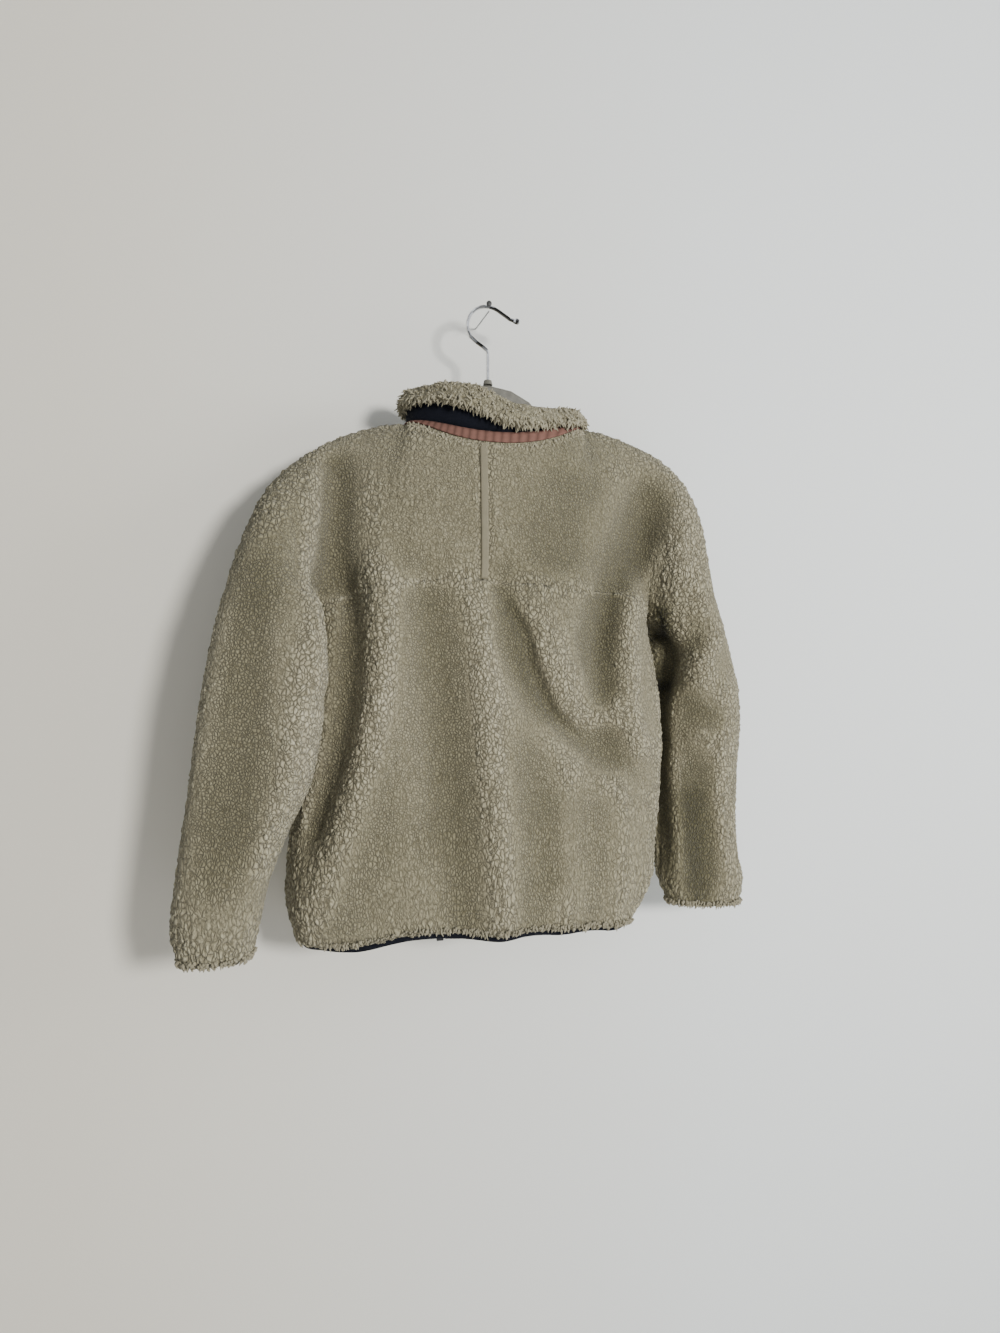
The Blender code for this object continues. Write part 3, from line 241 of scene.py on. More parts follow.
def fleece_material(name, gap, low, tip, gap_shade_share=0.74, relief=1.2):
    """Curled pile, coarse on the ridges and fine in the hollows, with painted shade and light: dark
    gaps and pale tops, darker hollows and paler ridges.
    """
    made, tree, shader = new_material(name)
    pile = tree.attribute("pile")
    ridge = tree.attribute("ridge")
    tone = use_group(tree, "patchy_tone", {"Patch": 0.05, "Amount": 0.16})["Tone"]
    cloud = use_group(tree, "patchy_tone", {"Patch": 0.022, "Amount": 1.0})["Tone"]
    big = use_group(tree, "curls", {"Size": COARSE_CURL, "Stretch": 1.45, "Bend": 0.006})
    small = use_group(tree, "curls", {"Size": FINE_CURL, "Stretch": 1.2, "Bend": 0.004})
    fibre = use_group(tree, "fine_fibre", {"Fibre": 0.0008, "Stretch": 2.0})["Height"]
    patch = tree.maths("MULTIPLY", tree.maths("SUBTRACT", cloud, 1.0), 0.3)
    fold = tree.maths("ADD", ridge, patch)
    bold = tree.remap(fold, 0.38, 0.72)
    calm = tree.maths("SUBTRACT", 1.0, bold)

    def chosen(label, weak):
        fine_part = tree.maths("MULTIPLY", tree.maths("MULTIPLY", small[label], calm), weak)
        return tree.maths("ADD", tree.maths("MULTIPLY", big[label], bold), fine_part)

    height = chosen("Height", 0.85)
    gaps = chosen("Gap", 0.9)
    # Painted shade and light at the scale of a curl: darker low down, paler on top, and darkest in
    # the gaps between curls.
    body = tree.mix(pile, low, tip)
    whole = tree.mix(tree.maths("MULTIPLY", gaps, gap_shade_share), body, gap)
    # Painted shade in hollows and painted light on ridges, times the painted shade and light of the
    # cloth's shade attribute.
    fold_light_and_shade = tree.remap(ridge, 0.0, 0.85, 0.7, 1.12)
    fold_light_and_shade = tree.maths("MULTIPLY", fold_light_and_shade, tree.maths("ADD", tree.attribute("shade"), 1.0))
    fuzz = tree.remap(fibre, 0.3, 0.7, 0.93, 1.07)
    # Random tone and fibre grain, times the painted shade and light.
    shade = tree.maths("MULTIPLY", tree.maths("MULTIPLY", tone, fuzz), fold_light_and_shade)
    # Blue falls faster where the painted shade is darker, so the shade is warmer.
    blue = tree.maths("POWER", shade, 1.2)
    grey = tree.add("ShaderNodeCombineColor", {0: shade, 1: shade, 2: blue}).outputs[0]
    tree.tree.links.new(tree.mix(1.0, whole, grey, "MULTIPLY"), shader.inputs["Base Color"])
    uneven = tree.maths("ADD", height, tree.maths("MULTIPLY", fibre, 0.22))
    tree.tree.links.new(tree.bump(uneven, relief, 0.0016), shader.inputs["Normal"])
    tree.tree.links.new(tree.remap(pile, 0.0, 1.0, 1.0, 0.88), shader.inputs["Roughness"])
    shader.inputs["Specular IOR Level"].default_value = 0.12
    shader.inputs["Sheen Weight"].default_value = 0.15
    shader.inputs["Sheen Roughness"].default_value = 0.6
    return made


def cloth_material(name, shadow, light, rib=0.0016, row=0.0012, depth=0.0004):
    """Knitted or woven cloth with fine ribs, with painted shade between them."""
    made, tree, shader = new_material(name)
    tone = use_group(tree, "patchy_tone", {"Patch": 0.02, "Amount": 0.9})["Tone"]
    height = use_group(tree, "knit_ribs", {"Rib": rib, "Row": row})["Height"]
    raised = tree.remap(height, 0.0, 1.2)
    blend = tree.maths("MULTIPLY", raised, tree.maths("MULTIPLY", tone, 0.8), clamp=True)
    tree.tree.links.new(tree.mix(blend, shadow, light), shader.inputs["Base Color"])
    tree.tree.links.new(tree.bump(height, 0.6, depth), shader.inputs["Normal"])
    tree.tree.links.new(tree.remap(height, 0.0, 1.2, 0.95, 0.8), shader.inputs["Roughness"])
    shader.inputs["Specular IOR Level"].default_value = 0.2
    return made


def hard_material(name, shadow, light, rough, metallic=0.0):
    """Plastic, metal or paint with small patches of shine."""
    made, tree, shader = new_material(name)
    tone = use_group(tree, "patchy_tone", {"Patch": 0.006, "Amount": 1.4})["Tone"]
    fine = use_group(tree, "fine_fibre", {"Fibre": 0.0006, "Stretch": 1.0})["Height"]
    mask = tree.maths("SUBTRACT", tone, 0.5, clamp=True)
    tree.tree.links.new(tree.mix(mask, shadow, light), shader.inputs["Base Color"])
    uneven = tree.remap(mask, 0.0, 1.0, rough * 1.35, rough * 0.75)
    tree.tree.links.new(uneven, shader.inputs["Roughness"])
    tree.tree.links.new(tree.bump(fine, 0.12, 0.0002), shader.inputs["Normal"])
    shader.inputs["Metallic"].default_value = metallic
    return made


# ------------------------------------------------------------------- the cloth


def shell_of(name):
    """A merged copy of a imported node, with its triangles paired back into quads."""
    bm = bmesh.new()
    bm.from_mesh(NODES[name].data)
    bmesh.ops.remove_doubles(bm, verts=bm.verts, dist=0.02 * MM)
    bmesh.ops.join_triangles(
        bm, faces=bm.faces,
        angle_face_threshold=math.radians(60), angle_shape_threshold=math.radians(70),
    )
    bm.normal_update()
    return bm


def tree_of(name):
    """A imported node's surface, for finding how near it a point lies."""
    return BVHTree.FromObject(NODES[name], bpy.context.evaluated_depsgraph_get())


def widest_side(bm, sharp):
    """The largest set of faces that no sharp edge crosses: the cloth's outer side."""
    left, best, best_area = set(bm.faces), [], 0
    while left:
        together, waiting = [], [left.pop()]
        while waiting:
            face = waiting.pop()
            together.append(face)
            for edge in face.edges:
                if edge.calc_face_angle(0) < sharp:
                    near = [other for other in edge.link_faces if other in left]
                    left.difference_update(near)
                    waiting.extend(near)
        area = sum(face.calc_area() for face in together)
        if area > best_area:
            best, best_area = together, area
    return set(best)


def add_object(name, data):
    made = bpy.data.objects.new(name, data)
    bpy.context.scene.collection.objects.link(made)
    return made


def finish_object(bm, name, materials, smooth=True):
    mesh = bpy.data.meshes.new(name)
    bm.to_mesh(mesh)
    bm.free()
    for material in materials:
        mesh.materials.append(material)
    if smooth:
        mesh.shade_smooth()
    return add_object(name, mesh)


def subdivided(bm, name, levels, sharp=math.radians(60)):
    """The same mesh after Subdivision Surface, its sharp edges kept sharp."""
    layers = bm.edges.layers.float
    crease = layers.get("crease_edge") or layers.new("crease_edge")
    for edge in bm.edges:
        if edge.calc_face_angle(0) > sharp:
            edge[crease] = 1.0
    start = finish_object(bm, name, [])
    modifier = start.modifiers.new("soft", "SUBSURF")
    modifier.levels = modifier.render_levels = levels
    bpy.context.view_layer.update()
    shaped = start.evaluated_get(bpy.context.evaluated_depsgraph_get())
    made = bmesh.new()
    made.from_mesh(shaped.to_mesh())
    shaped.to_mesh_clear()
    bpy.data.objects.remove(start)
    made.normal_update()
    return made


def distance_to_line(spots, line):
    """How far each spot is from a line through a few points, and where along it, from 0 to 1."""
    spans = [math.dist(a, b) for a, b in zip(line, line[1:])]
    near = np.full(len(spots), np.inf)
    along = np.zeros(len(spots))
    done = 0.0
    for (ax, ay), (bx, by), span in zip(line, line[1:], spans):
        step = np.array([bx - ax, by - ay]) / span
        offset = spots - np.array([ax, ay])
        t = np.clip(offset @ step, 0, span)
        away = np.linalg.norm(offset - t[:, None] * step, axis=1)
        better = away < near
        near[better] = away[better]
        along[better] = (done + t[better]) / sum(spans)
        done += span
    return near, along


BODY = ("back_panel",)
LEFT = ("yoke_sleeve_left",)
RIGHT_ARM = ("yoke_sleeve_right",)
SHOWN = BODY + LEFT + RIGHT_ARM

# Soft folds, by where they run in the photograph: pieces, width in pixels, height in mm, line.
FOLDS = (
    (SHOWN, 17, -4.0, ((336, 446), (340, 500), (344, 560), (349, 600))),
    (SHOWN, 15, -0.8, ((345, 590), (353, 640), (352, 700), (342, 760), (325, 812))),
    (SHOWN, 17, 2.9, ((378, 490), (380, 540), (378, 600), (378, 640), (376, 700), (362, 760),
                      (338, 805), (322, 860), (312, 925))),
    (BODY, 24, -2.5, ((432, 610), (436, 700), (438, 800), (418, 900))),
    (BODY, 14, 2.8, ((478, 612), (482, 700), (491, 790), (500, 870), (507, 926))),
    (BODY, 7, -6.0, ((497, 588), (512, 612), (526, 636), (533, 668), (549, 708), (567, 731),
                     (590, 751))),
    (BODY, 13, 3.0, ((520, 604), (534, 641), (541, 665), (551, 690), (567, 712), (590, 722),
                     (612, 712), (624, 688), (628, 658), (624, 626), (618, 604))),
    (SHOWN, 17, -9.0, ((664, 480), (646, 530), (627, 570), (609, 604), (600, 633), (598, 660),
                       (601, 686))),
    (SHOWN, 40, -3.0, ((584, 460), (572, 530), (570, 590))),
    (BODY, 16, 2.0, ((640, 640), (642, 720), (646, 800), (636, 900))),
    (BODY, 20, -2.5, ((548, 770), (552, 830), (552, 915))),
    (LEFT, 10, 6.5, ((314, 448), (314, 480), (310, 540), (308, 600), (306, 660), (304, 700))),
    (LEFT, 13, 3.5, ((304, 700), (290, 770), (268, 840), (250, 900))),
    (LEFT, 34, -8.5, ((268, 470), (260, 560), (248, 640), (238, 740), (222, 840), (206, 930))),
    (RIGHT_ARM, 12, 3.0, ((686, 500), (680, 550), (674, 596))),
    (RIGHT_ARM, 12, 4.0, ((678, 612), (679, 645), (690, 666), (708, 676), (722, 680))),
    (RIGHT_ARM, 14, -3.0, ((668, 696), (690, 706), (706, 714), (732, 736))),
    (RIGHT_ARM, 11, 4.0, ((728, 700), (727, 750), (721, 807), (727, 849), (735, 880))),
    (RIGHT_ARM, 20, -8.5, ((690, 730), (696, 800), (702, 920))),
    (RIGHT_ARM, 8, -7.0, ((661, 640), (661, 720), (663, 800), (668, 900))),
)

# Painted shade on the cloth's colour where it lies in shade in the photograph, and painted light
# where the change is above 0: pieces, width in pixels, change of tone, line.
PAINTED_SHADE_AND_LIGHT = (
    (BODY, 9, -0.14, ((332, 600), (334, 680), (328, 740))),
    (BODY, 12, -0.27, ((508, 612), (521, 646), (528, 680), (548, 716))),
    (SHOWN, 16, -0.24, ((644, 534), (626, 572), (609, 604), (604, 640), (608, 690))),
    (SHOWN, 55, -0.2, ((588, 450), (566, 520), (560, 560))),
    (LEFT, 26, -0.2, ((290, 450), (274, 520), (262, 590))),
    # The deepest painted shade, a dark pocket at the right armpit.
    (RIGHT_ARM + ("front_right",) + BODY, 7.5, -0.9, ((662, 612), (665, 640), (665, 684))),
    (RIGHT_ARM, 8, -0.35, ((664, 690), (664, 760), (668, 840), (670, 900))),
    (RIGHT_ARM, 18, -0.55, ((690, 800), (694, 850), (698, 920))),
    (RIGHT_ARM, 15, -0.14, ((668, 696), (690, 710), (708, 718))),
    (SHOWN, 60, 0.13, ((250, 660), (250, 740), (450, 700))),
    (RIGHT_ARM, 22, 0.12, ((672, 530), (676, 570))),
)

# How far the sleeves' inner sides swell towards the body, in mm, by height in mm.
SWELL_HEIGHTS = (-700, -660, -620, -560, -500, -440, -420, -375, -350, -325)
RIGHT_SWELL = (0, 14, 12, 7, 7, 13, 27, 27, 8, 0)
LEFT_SWELL = (0, 0, 0, 0, 0, 5, 10, 14, 13, 0)

FOLD_TAPER = 0.22  # the share of a fold's length over which each end fades
# The darkest the painted shade may make the cloth.
DARKEST = -0.9
# How far a point must stand out, or a fold be pressed, for a full step of ridge value, which the
# colour paints as light on ridges and shade in hollows.
RIDGE_STEP = 3.6 * MM
PRESSED_STEP = 15 * MM
LEVELLING_PASSES = 14

# Where the photograph shows the collar's top dip, in its pixels, and by how many mm.
DIP_COLUMNS = (440, 480, 500, 515, 535, 560, 580, 600)
DIP_FALLS = (1, 3, 10, 14, 11, 6, 3, 0)
DIP_FOOT = -168 * MM
DIP_RISE = 50 * MM

# How far up the roll's outer flap is drawn, as a share of its drop, along the photograph's columns.
FLAP_COLUMNS = (400, 436, 466, 497, 530, 560, 590)
FLAP_SHARES = (0.5, 0.48, 0.38, 0.31, 0.31, 0.27, 0.05)
COLLAR_COLUMNS = np.arange(390, 640, 10)

# How much of the navy binding the pile hides along the back's hem, by the photograph's columns.
HEM_COLUMNS = (350, 366, 384, 416, 430, 508, 520, 538, 548)
HEM_SHARES = (0.9, 0.35, 0.2, 0.3, 0.9, 0.9, 0.4, 0.4, 0.9)


def photo_spots(places):
    """Where places show in the photograph, in its pixels."""
    away = places - np.array(CAMERA_PLACE)
    depth = away @ np.array(AHEAD)
    return np.stack(
        [
            FRAME_WIDTH / 2 + CAMERA_FOCUS * (away @ np.array(RIGHT)) / depth,
            FRAME_HEIGHT / 2 - CAMERA_FOCUS * away[:, 2] / depth,
        ],
        1,
    )


def facing_of(bm, places):
    """How squarely the cloth at each point faces the camera, from -1 to 1, and the ray towards it.

    A rim is read as the cloth that it edges.
    """
    rays = np.array(CAMERA_PLACE) - places
    rays /= np.linalg.norm(rays, axis=1)[:, None]
    facing = np.zeros(len(places))
    for vert, ray in zip(bm.verts, rays):
        ray = Vector(ray)
        face = max(vert.link_faces, key=lambda face: abs(face.normal.dot(ray)))
        facing[vert.index] = face.normal.dot(ray) * (1 if face.material_index == 0 else -1)
    return facing, rays


def press_folds(bm, node):
    """Moves the wall of cloth that faces the camera in or out along each fold of the photograph, and
    works out its painted shade and light.
    """
    bm.verts.index_update()
    places = np.array([v.co for v in bm.verts])
    normals = np.array([v.normal for v in bm.verts])
    facing, rays = facing_of(bm, places)
    spots = photo_spots(places)
    height = np.zeros(len(places))
    for nodes, width, rise, line in FOLDS:
        if node in nodes:
            near, along = distance_to_line(spots, line)
            ends = np.clip(np.minimum(along, 1 - along) / FOLD_TAPER, 0.2, 1)
            height += rise * MM * ends * np.exp(-((near / width) ** 2))
    height *= np.clip(facing / 0.35, 0, 1)
    # Painted shade and light along the lines listed above, on the cloth that faces the camera.
    shade = np.zeros(len(places))
    for nodes, width, amount, line in PAINTED_SHADE_AND_LIGHT:
        if node in nodes:
            shade += amount * np.exp(-((distance_to_line(spots, line)[0] / width) ** 2))
    shade *= np.clip(facing / 0.2 + 0.5, 0, 1)
    places += rays * height[:, None]
    outer = np.array([any(f.material_index == 0 for f in v.link_faces) for v in bm.verts])
    if node in RIGHT_ARM:
        swell = np.interp(places[:, 2], np.array(SWELL_HEIGHTS) * MM, RIGHT_SWELL) * MM
        front = np.clip((places[:, 1] + 5 * MM) / (15 * MM), 0, 1)
        inner = front * np.clip(-normals[:, 0] * 1.6 + 0.2, 0, 1)
        places[:, 0] -= swell * inner * outer
    if node in LEFT:
        swell = np.interp(places[:, 2], np.array(SWELL_HEIGHTS) * MM, LEFT_SWELL) * MM
        places[:, 0] += swell * np.clip(normals[:, 0] * 1.6, 0, 1) * outer
    for vert, place in zip(bm.verts, places):
        vert.co = place
    bm.normal_update()
    return height, np.maximum(shade, DARKEST)


def mark_ridges(bm, height, shade):
    """Writes how far each point stands out of the cloth around it, with 0.5 as level, which the
    colour paints as light on ridges and shade in hollows, and the painted shade and light.
    """
    ridge_layer = bm.verts.layers.float["ridge"]
    shade_layer = bm.verts.layers.float["shade"]
    bm.verts.index_update()
    places = np.array([v.co for v in bm.verts])
    normals = np.array([v.normal for v in bm.verts])
    ends = np.array([[e.verts[0].index, e.verts[1].index] for e in bm.edges])
    count = np.bincount(ends.ravel(), minlength=len(places))[:, None]
    smooth = places.copy()
    for _ in range(LEVELLING_PASSES):
        total = np.zeros_like(smooth)
        np.add.at(total, ends[:, 0], smooth[ends[:, 1]])
        np.add.at(total, ends[:, 1], smooth[ends[:, 0]])
        smooth = total / count
    out = ((places - smooth) * normals).sum(1)
    out = np.clip(0.5 + (out - np.median(out)) / RIDGE_STEP + height / PRESSED_STEP, 0, 1)
    for vert, ridge, tone in zip(bm.verts, out, shade):
        vert[ridge_layer] = ridge
        vert[shade_layer] = tone


def dip_collar(bm):
    """Lets the top of the collar sink beside the hook, where the hanger shows above it."""
    spots = photo_spots(np.array([v.co for v in bm.verts]))
    fall = np.interp(spots[:, 0], DIP_COLUMNS, DIP_FALLS)
    for vert, down in zip(bm.verts, fall):
        if vert.co.y < -10 * MM:
            high = min(1.0, max(0.0, (vert.co.z - DIP_FOOT) / DIP_RISE))
            vert.co.z -= down * MM * high
    bm.normal_update()


def shape_collar(bm):
    """Draws the roll's outer flap up on the left, where the navy stand shows under it."""
    stand = tree_of("collar_stand")
    places = np.array([v.co for v in bm.verts])
    across = photo_spots(places)[:, 0]
    back = places[:, 1] < 15 * MM
    tops = [
        places[back & (abs(across - column) < 9), 2].max(initial=-0.2)
        for column in COLLAR_COLUMNS
    ]
    top = np.interp(across, COLLAR_COLUMNS, tops)
    share = np.interp(across, FLAP_COLUMNS, FLAP_SHARES)
    for vert, high, part in zip(bm.verts, top, share):
        near = stand.find_nearest(vert.co)[0]
        outward = Vector((vert.co.x - 15 * MM, vert.co.y, 0)).normalized()
        flap = min(1.0, max(0.0, (vert.co - near).dot(outward) / MM + 0.5))
        fade = min(1.0, max(0.0, (12 * MM - vert.co.y) / (24 * MM)))
        vert.co.z += max(0.0, high - 8 * MM - vert.co.z) * part * flap * fade
    dip_collar(bm)


# The pile's curls: how far apart their rows bend and patches of coarser ones lie.
CURL_SIZE = 6.0 * MM
WIDE_BEND, TIGHT_BEND = 15 * MM, 6 * MM
COARSE_PATCH = 34 * MM

# Beside a trim that is sewn on, the pile lies flat.
TRIM_REACH = 8 * MM
TRIM_CLEARANCE = 1.6 * MM
TRIM_FADE = 3.0 * MM
RIM_OVERHANG = 0.7 * MM


def curl_at(place, size, seed, stretch=0.68):
    """Height from 0 to 1, and lean, of the curl of pile at this place."""
    wide = noise.noise_vector(place / WIDE_BEND + seed) * 0.9
    bend = wide + noise.noise_vector(place / TIGHT_BEND - seed) * 0.35
    spot = Vector((place.x, place.y, place.z * stretch)) / size + seed + bend
    spans, centres = noise.voronoi(spot)
    edge = min(1.0, (spans[1] - spans[0]) / 0.5)
    lean = noise.cell_vector(centres[0] * 7.31) - Vector((0.5, 0.5, 0.5))
    return math.sqrt(edge) * (1.0 - 0.45 * min(1.0, spans[0])), lean


def rim_way(vert):
    """Which way the cloth's cut edge faces at a point of its rim."""
    return sum((f.normal for f in vert.link_faces if f.material_index), Vector()).normalized()


def grow_pile(bm, seed, size, depth, flat_trims):
    """Pushes the outer side out into curls, coarse on the ridges and fine in the valleys."""
    pile = bm.verts.layers.float["pile"]
    ridge = bm.verts.layers.float["ridge"]
    verts = [v for v in bm.verts if any(f.material_index == 0 for f in v.link_faces)]
    rim = {v for v in verts if any(f.material_index for f in v.link_faces)}
    trims = [tree_of(name) for name in flat_trims]
    bm.normal_update()
    moves = []
    offset = Vector((seed * 3.7, seed * 1.9, seed * 5.3))
    for vert in verts:
        place = vert.co
        fold = vert[ridge]
        patch = noise.noise(place / COARSE_PATCH + offset)
        coarse = min(1.0, max(0.0, 0.36 + 1.5 * (fold - 0.5) + 0.45 * patch))
        big, lean = curl_at(place, size, offset)
        small, _ = curl_at(place, size * 0.6, offset + Vector((9, 4, 2)), 0.85)
        height = big * (0.25 + 0.75 * coarse) + small * (0.55 - 0.3 * coarse)
        # The curl's height, which the colour paints as shade low in the gaps and as light on the
        # tops.
        vert[pile] = min(1.0, height)
        amount = depth * (0.5 + 0.5 * coarse)
        for trim in trims:
            gap = trim.find_nearest(place, TRIM_REACH)[3]
            if gap is not None:
                amount *= min(1.0, max(0.04, (gap - TRIM_CLEARANCE) / TRIM_FADE))
        side = lean - vert.normal * lean.dot(vert.normal)
        move = vert.normal * (amount * height) + side * (amount * 0.7 * height)
        if vert in rim:
            move = move * 0.8 + rim_way(vert) * RIM_OVERHANG
        moves.append((vert, move))
    for vert, move in moves:
        vert.co += move
    bm.normal_update()
    skin = [(v.co.copy(), v.normal.copy(), v[ridge]) for v in verts if v not in rim]
    edge = [(v.co.copy(), v.normal.copy(), rim_way(v)) for v in verts if v in rim]
    return skin, edge


# Points of each fleece piece's face and rim, as roots for locks of pile.
SKIN, EDGE = {}, {}


def fleece_piece(name, node, seed, depth=3.2 * MM, sharp=SHARP, flat_trims=(), shape=None):
    """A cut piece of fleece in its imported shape, with its folds and its curls of pile."""
    bm = shell_of(node)
    side = widest_side(bm, sharp)
    for face in bm.faces:
        face.material_index = 0 if face in side else 1
    bm = subdivided(bm, name, 2)
    for label in ("ridge", "shade", "pile"):
        bm.verts.layers.float.new(label)
    if shape:
        shape(bm)
        height = shade = np.zeros(len(bm.verts))
    else:
        height, shade = press_folds(bm, node)
    mark_ridges(bm, height, shade)
    edges = [e for e in bm.edges if any(f.material_index == 0 for f in e.link_faces)]
    bmesh.ops.subdivide_edges(bm, edges=edges, cuts=2, use_grid_fill=True)
    SKIN[node], EDGE[node] = grow_pile(bm, seed, CURL_SIZE, depth, flat_trims)
    bmesh.ops.triangulate(bm, faces=[f for f in bm.faces if len(f.verts) > 4])
    piece = finish_object(bm, name, [FLEECE, BACKING])
    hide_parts(node)
    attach(piece, "jacket")
    return piece


def lock_shape():
    """One tapered lock of pile along +Z, 1 long and 1 wide at its root."""
    bm = bmesh.new()
    ring = bmesh.ops.create_circle(bm, cap_ends=True, segments=5, radius=0.5)["verts"]
    bmesh.ops.reverse_faces(bm, faces=bm.faces)
    width = 1.0
    for level, wide in ((0.3, 0.94), (0.58, 0.74), (0.82, 0.46), (1.0, 0.14)):
        edges = [e for e in bm.edges if e.verts[0] in ring and e.verts[1] in ring]
        out = bmesh.ops.extrude_edge_only(bm, edges=edges)["geom"]
        ring = [v for v in out if isinstance(v, bmesh.types.BMVert)]
        for vert in ring:
            vert.co.x *= wide / width
            vert.co.y *= wide / width
            vert.co.z = level
        width = wide
    bmesh.ops.contextual_create(bm, geom=ring)
    bmesh.ops.recalc_face_normals(bm, faces=bm.faces)
    return bm


def lock_piece(name, roots):
    """Many bent locks as one piece. Each root is (place, direction, bend, length, width)."""
    shape = lock_shape()
    shape.verts.ensure_lookup_table()
    points = np.array([v.co for v in shape.verts])
    faces = [[v.index for v in f.verts] for f in shape.faces]
    shape.free()
    places, all_faces, lock_root_shade = [], [], []
    for place, way, bend, length, width in roots:
        way = way.normalized()
        side = way.orthogonal().normalized()
        up = way.cross(side)
        along = points[:, 2:3]
        spots = (
            np.array(place)
            + along * length * np.array(way)
            + along * along * length * np.array(bend)
            + points[:, :1] * width * np.array(side)
            + points[:, 1:2] * width * np.array(up)
        )
        all_faces.extend([[i + len(points) * len(places) for i in face] for face in faces])
        places.append(spots)
        # Painted shade darkens each lock at its root, and it grows paler towards the tip.
        lock_root_shade.append(points[:, 2] * 0.4 + 0.55)
    mesh = bpy.data.meshes.new(name)
    mesh.from_pydata(np.concatenate(places).tolist(), [], all_faces)
    ridges = np.full(len(mesh.vertices), 0.6)
    for label, values in (("pile", np.concatenate(lock_root_shade)), ("ridge", ridges)):
        layer = mesh.attributes.new(label, "FLOAT", "POINT")
        layer.data.foreach_set("value", values)
    mesh.shade_smooth()
    mesh.materials.append(LOCKS)
    piece = add_object(name, mesh)
    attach(piece, "jacket")
    return piece


def jitter(dice, amount):
    return Vector([dice.uniform(-amount, amount) for _ in range(3)])


# Locks along an edge grow in two rows, this far in from it, in mm.
FIRST_ROW, NEXT_ROW = 2.6, 3.4


def at_hem_or_cuff(place, out):
    return out.z < -0.55 and place.z < -0.6


def edge_locks(
    name, node, seed, share, length, width, down=0.4, test=at_hem_or_cuff, reach=None
):
    """Locks that hang over a free edge of the cloth, such as its hem or a cuff."""
    dice = random.Random(seed)
    roots = []
    for place, normal, out in EDGE[node]:
        if not test(place, out) or dice.random() > share:
            continue
        long = length * (reach(place) if reach else 1.0)
        for row in range(2):
            hang = Vector((0, 0, -down))
            way = out * 0.9 + normal * (0.05 + 0.1 * row) + hang + jitter(dice, 0.4)
            root = place - out * (FIRST_ROW + NEXT_ROW * row) * MM + normal * (0.1 - 1.5 * row) * MM
            root += jitter(dice, 1.0) * MM
            bend = Vector((0, 0, -0.2)) + jitter(dice, 0.35)
            high = (long + 0.8 * row * MM) * dice.uniform(0.6, 1.25)
            roots.append((root, way, bend, high, width * dice.uniform(0.7, 1.2)))
    return lock_piece(name, roots)


def skin_locks(name, nodes, seed, count, length, width, down, test=None, curl=0.3):
    """Locks over the cloth's face, most of them where it stands out in ridges."""
    dice = random.Random(seed)
    roots = []
    spots = [spot for node in nodes for spot in SKIN[node] if test is None or test(spot[0])]
    while spots and len(roots) < count:
        place, normal, fold = spots[dice.randrange(len(spots))]
        if dice.random() > 0.15 + 1.3 * max(0.0, fold - 0.35):
            continue
        way = normal * 0.4 + Vector((0, 0, -down)) + jitter(dice, curl)
        bend = Vector((0, 0, -0.35)) + jitter(dice, curl)
        long = length * dice.uniform(0.7, 1.25)
        wide = width * dice.uniform(0.8, 1.2)
        roots.append((place - normal * 1.2 * MM, way, bend, long, wide))
    return lock_piece(name, roots)


def soft_piece(name, node, material, levels, shape):
    """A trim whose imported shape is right: smoothed, with a UV map that runs along it."""
    bm = subdivided(shell_of(node), name, levels)
    if shape:
        shape(bm)
    layer = bm.loops.layers.uv.new("cloth")
    for face in bm.faces:
        for loop in face.loops:
            place = loop.vert.co
            loop[layer].uv = (place.x - place.y, place.z)
    piece = finish_object(bm, name, [material])
    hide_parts(node)
    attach(piece, "jacket")
    return piece


TOOTH_PITCH = 2.7 * MM
TOOTH_SIZE = (3.4 * MM, 1.0 * MM, 1.9 * MM, 1)


def zip_teeth():
    """Moulded teeth in two rows that mesh along the face of the zip's chain."""
    chain = shell_of("zip_chain")
    face = [v for v in chain.verts if any(f.normal.y > 0.5 for f in v.link_faces)]
    ends = sorted((v.co.copy() for v in face), key=lambda co: co.z)
    chain.free()
    middles = [(a + b) / 2 for a, b in zip(ends[::2], ends[1::2])]
    across = Vector((1, 0, 0))
    bm = bmesh.new()
    left, side = 0.5 * TOOTH_PITCH, 1
    for low, high in zip(middles, middles[1:]):
        along = (high - low).normalized()
        out = along.cross(across)
        turn = Matrix((across, out, along)).transposed().to_4x4()
        while left < (high - low).length:
            middle = low + along * left + across * (side * 0.7 * MM) + out * 0.1 * MM
            place = Matrix.Translation(middle) @ turn @ Matrix.Diagonal(TOOTH_SIZE)
            bmesh.ops.create_cube(bm, size=1, matrix=place)
            left, side = left + TOOTH_PITCH, -side
        left -= (high - low).length
    bmesh.ops.bevel(
        bm, geom=bm.edges[:], offset=0.25 * MM, segments=1, profile=0.5, affect="EDGES",
        material=-1,
    )
    piece = finish_object(bm, "zip_teeth", [PLASTIC], smooth=False)
    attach(piece, "jacket")


# ------------------------------------------------------------ lights and stage


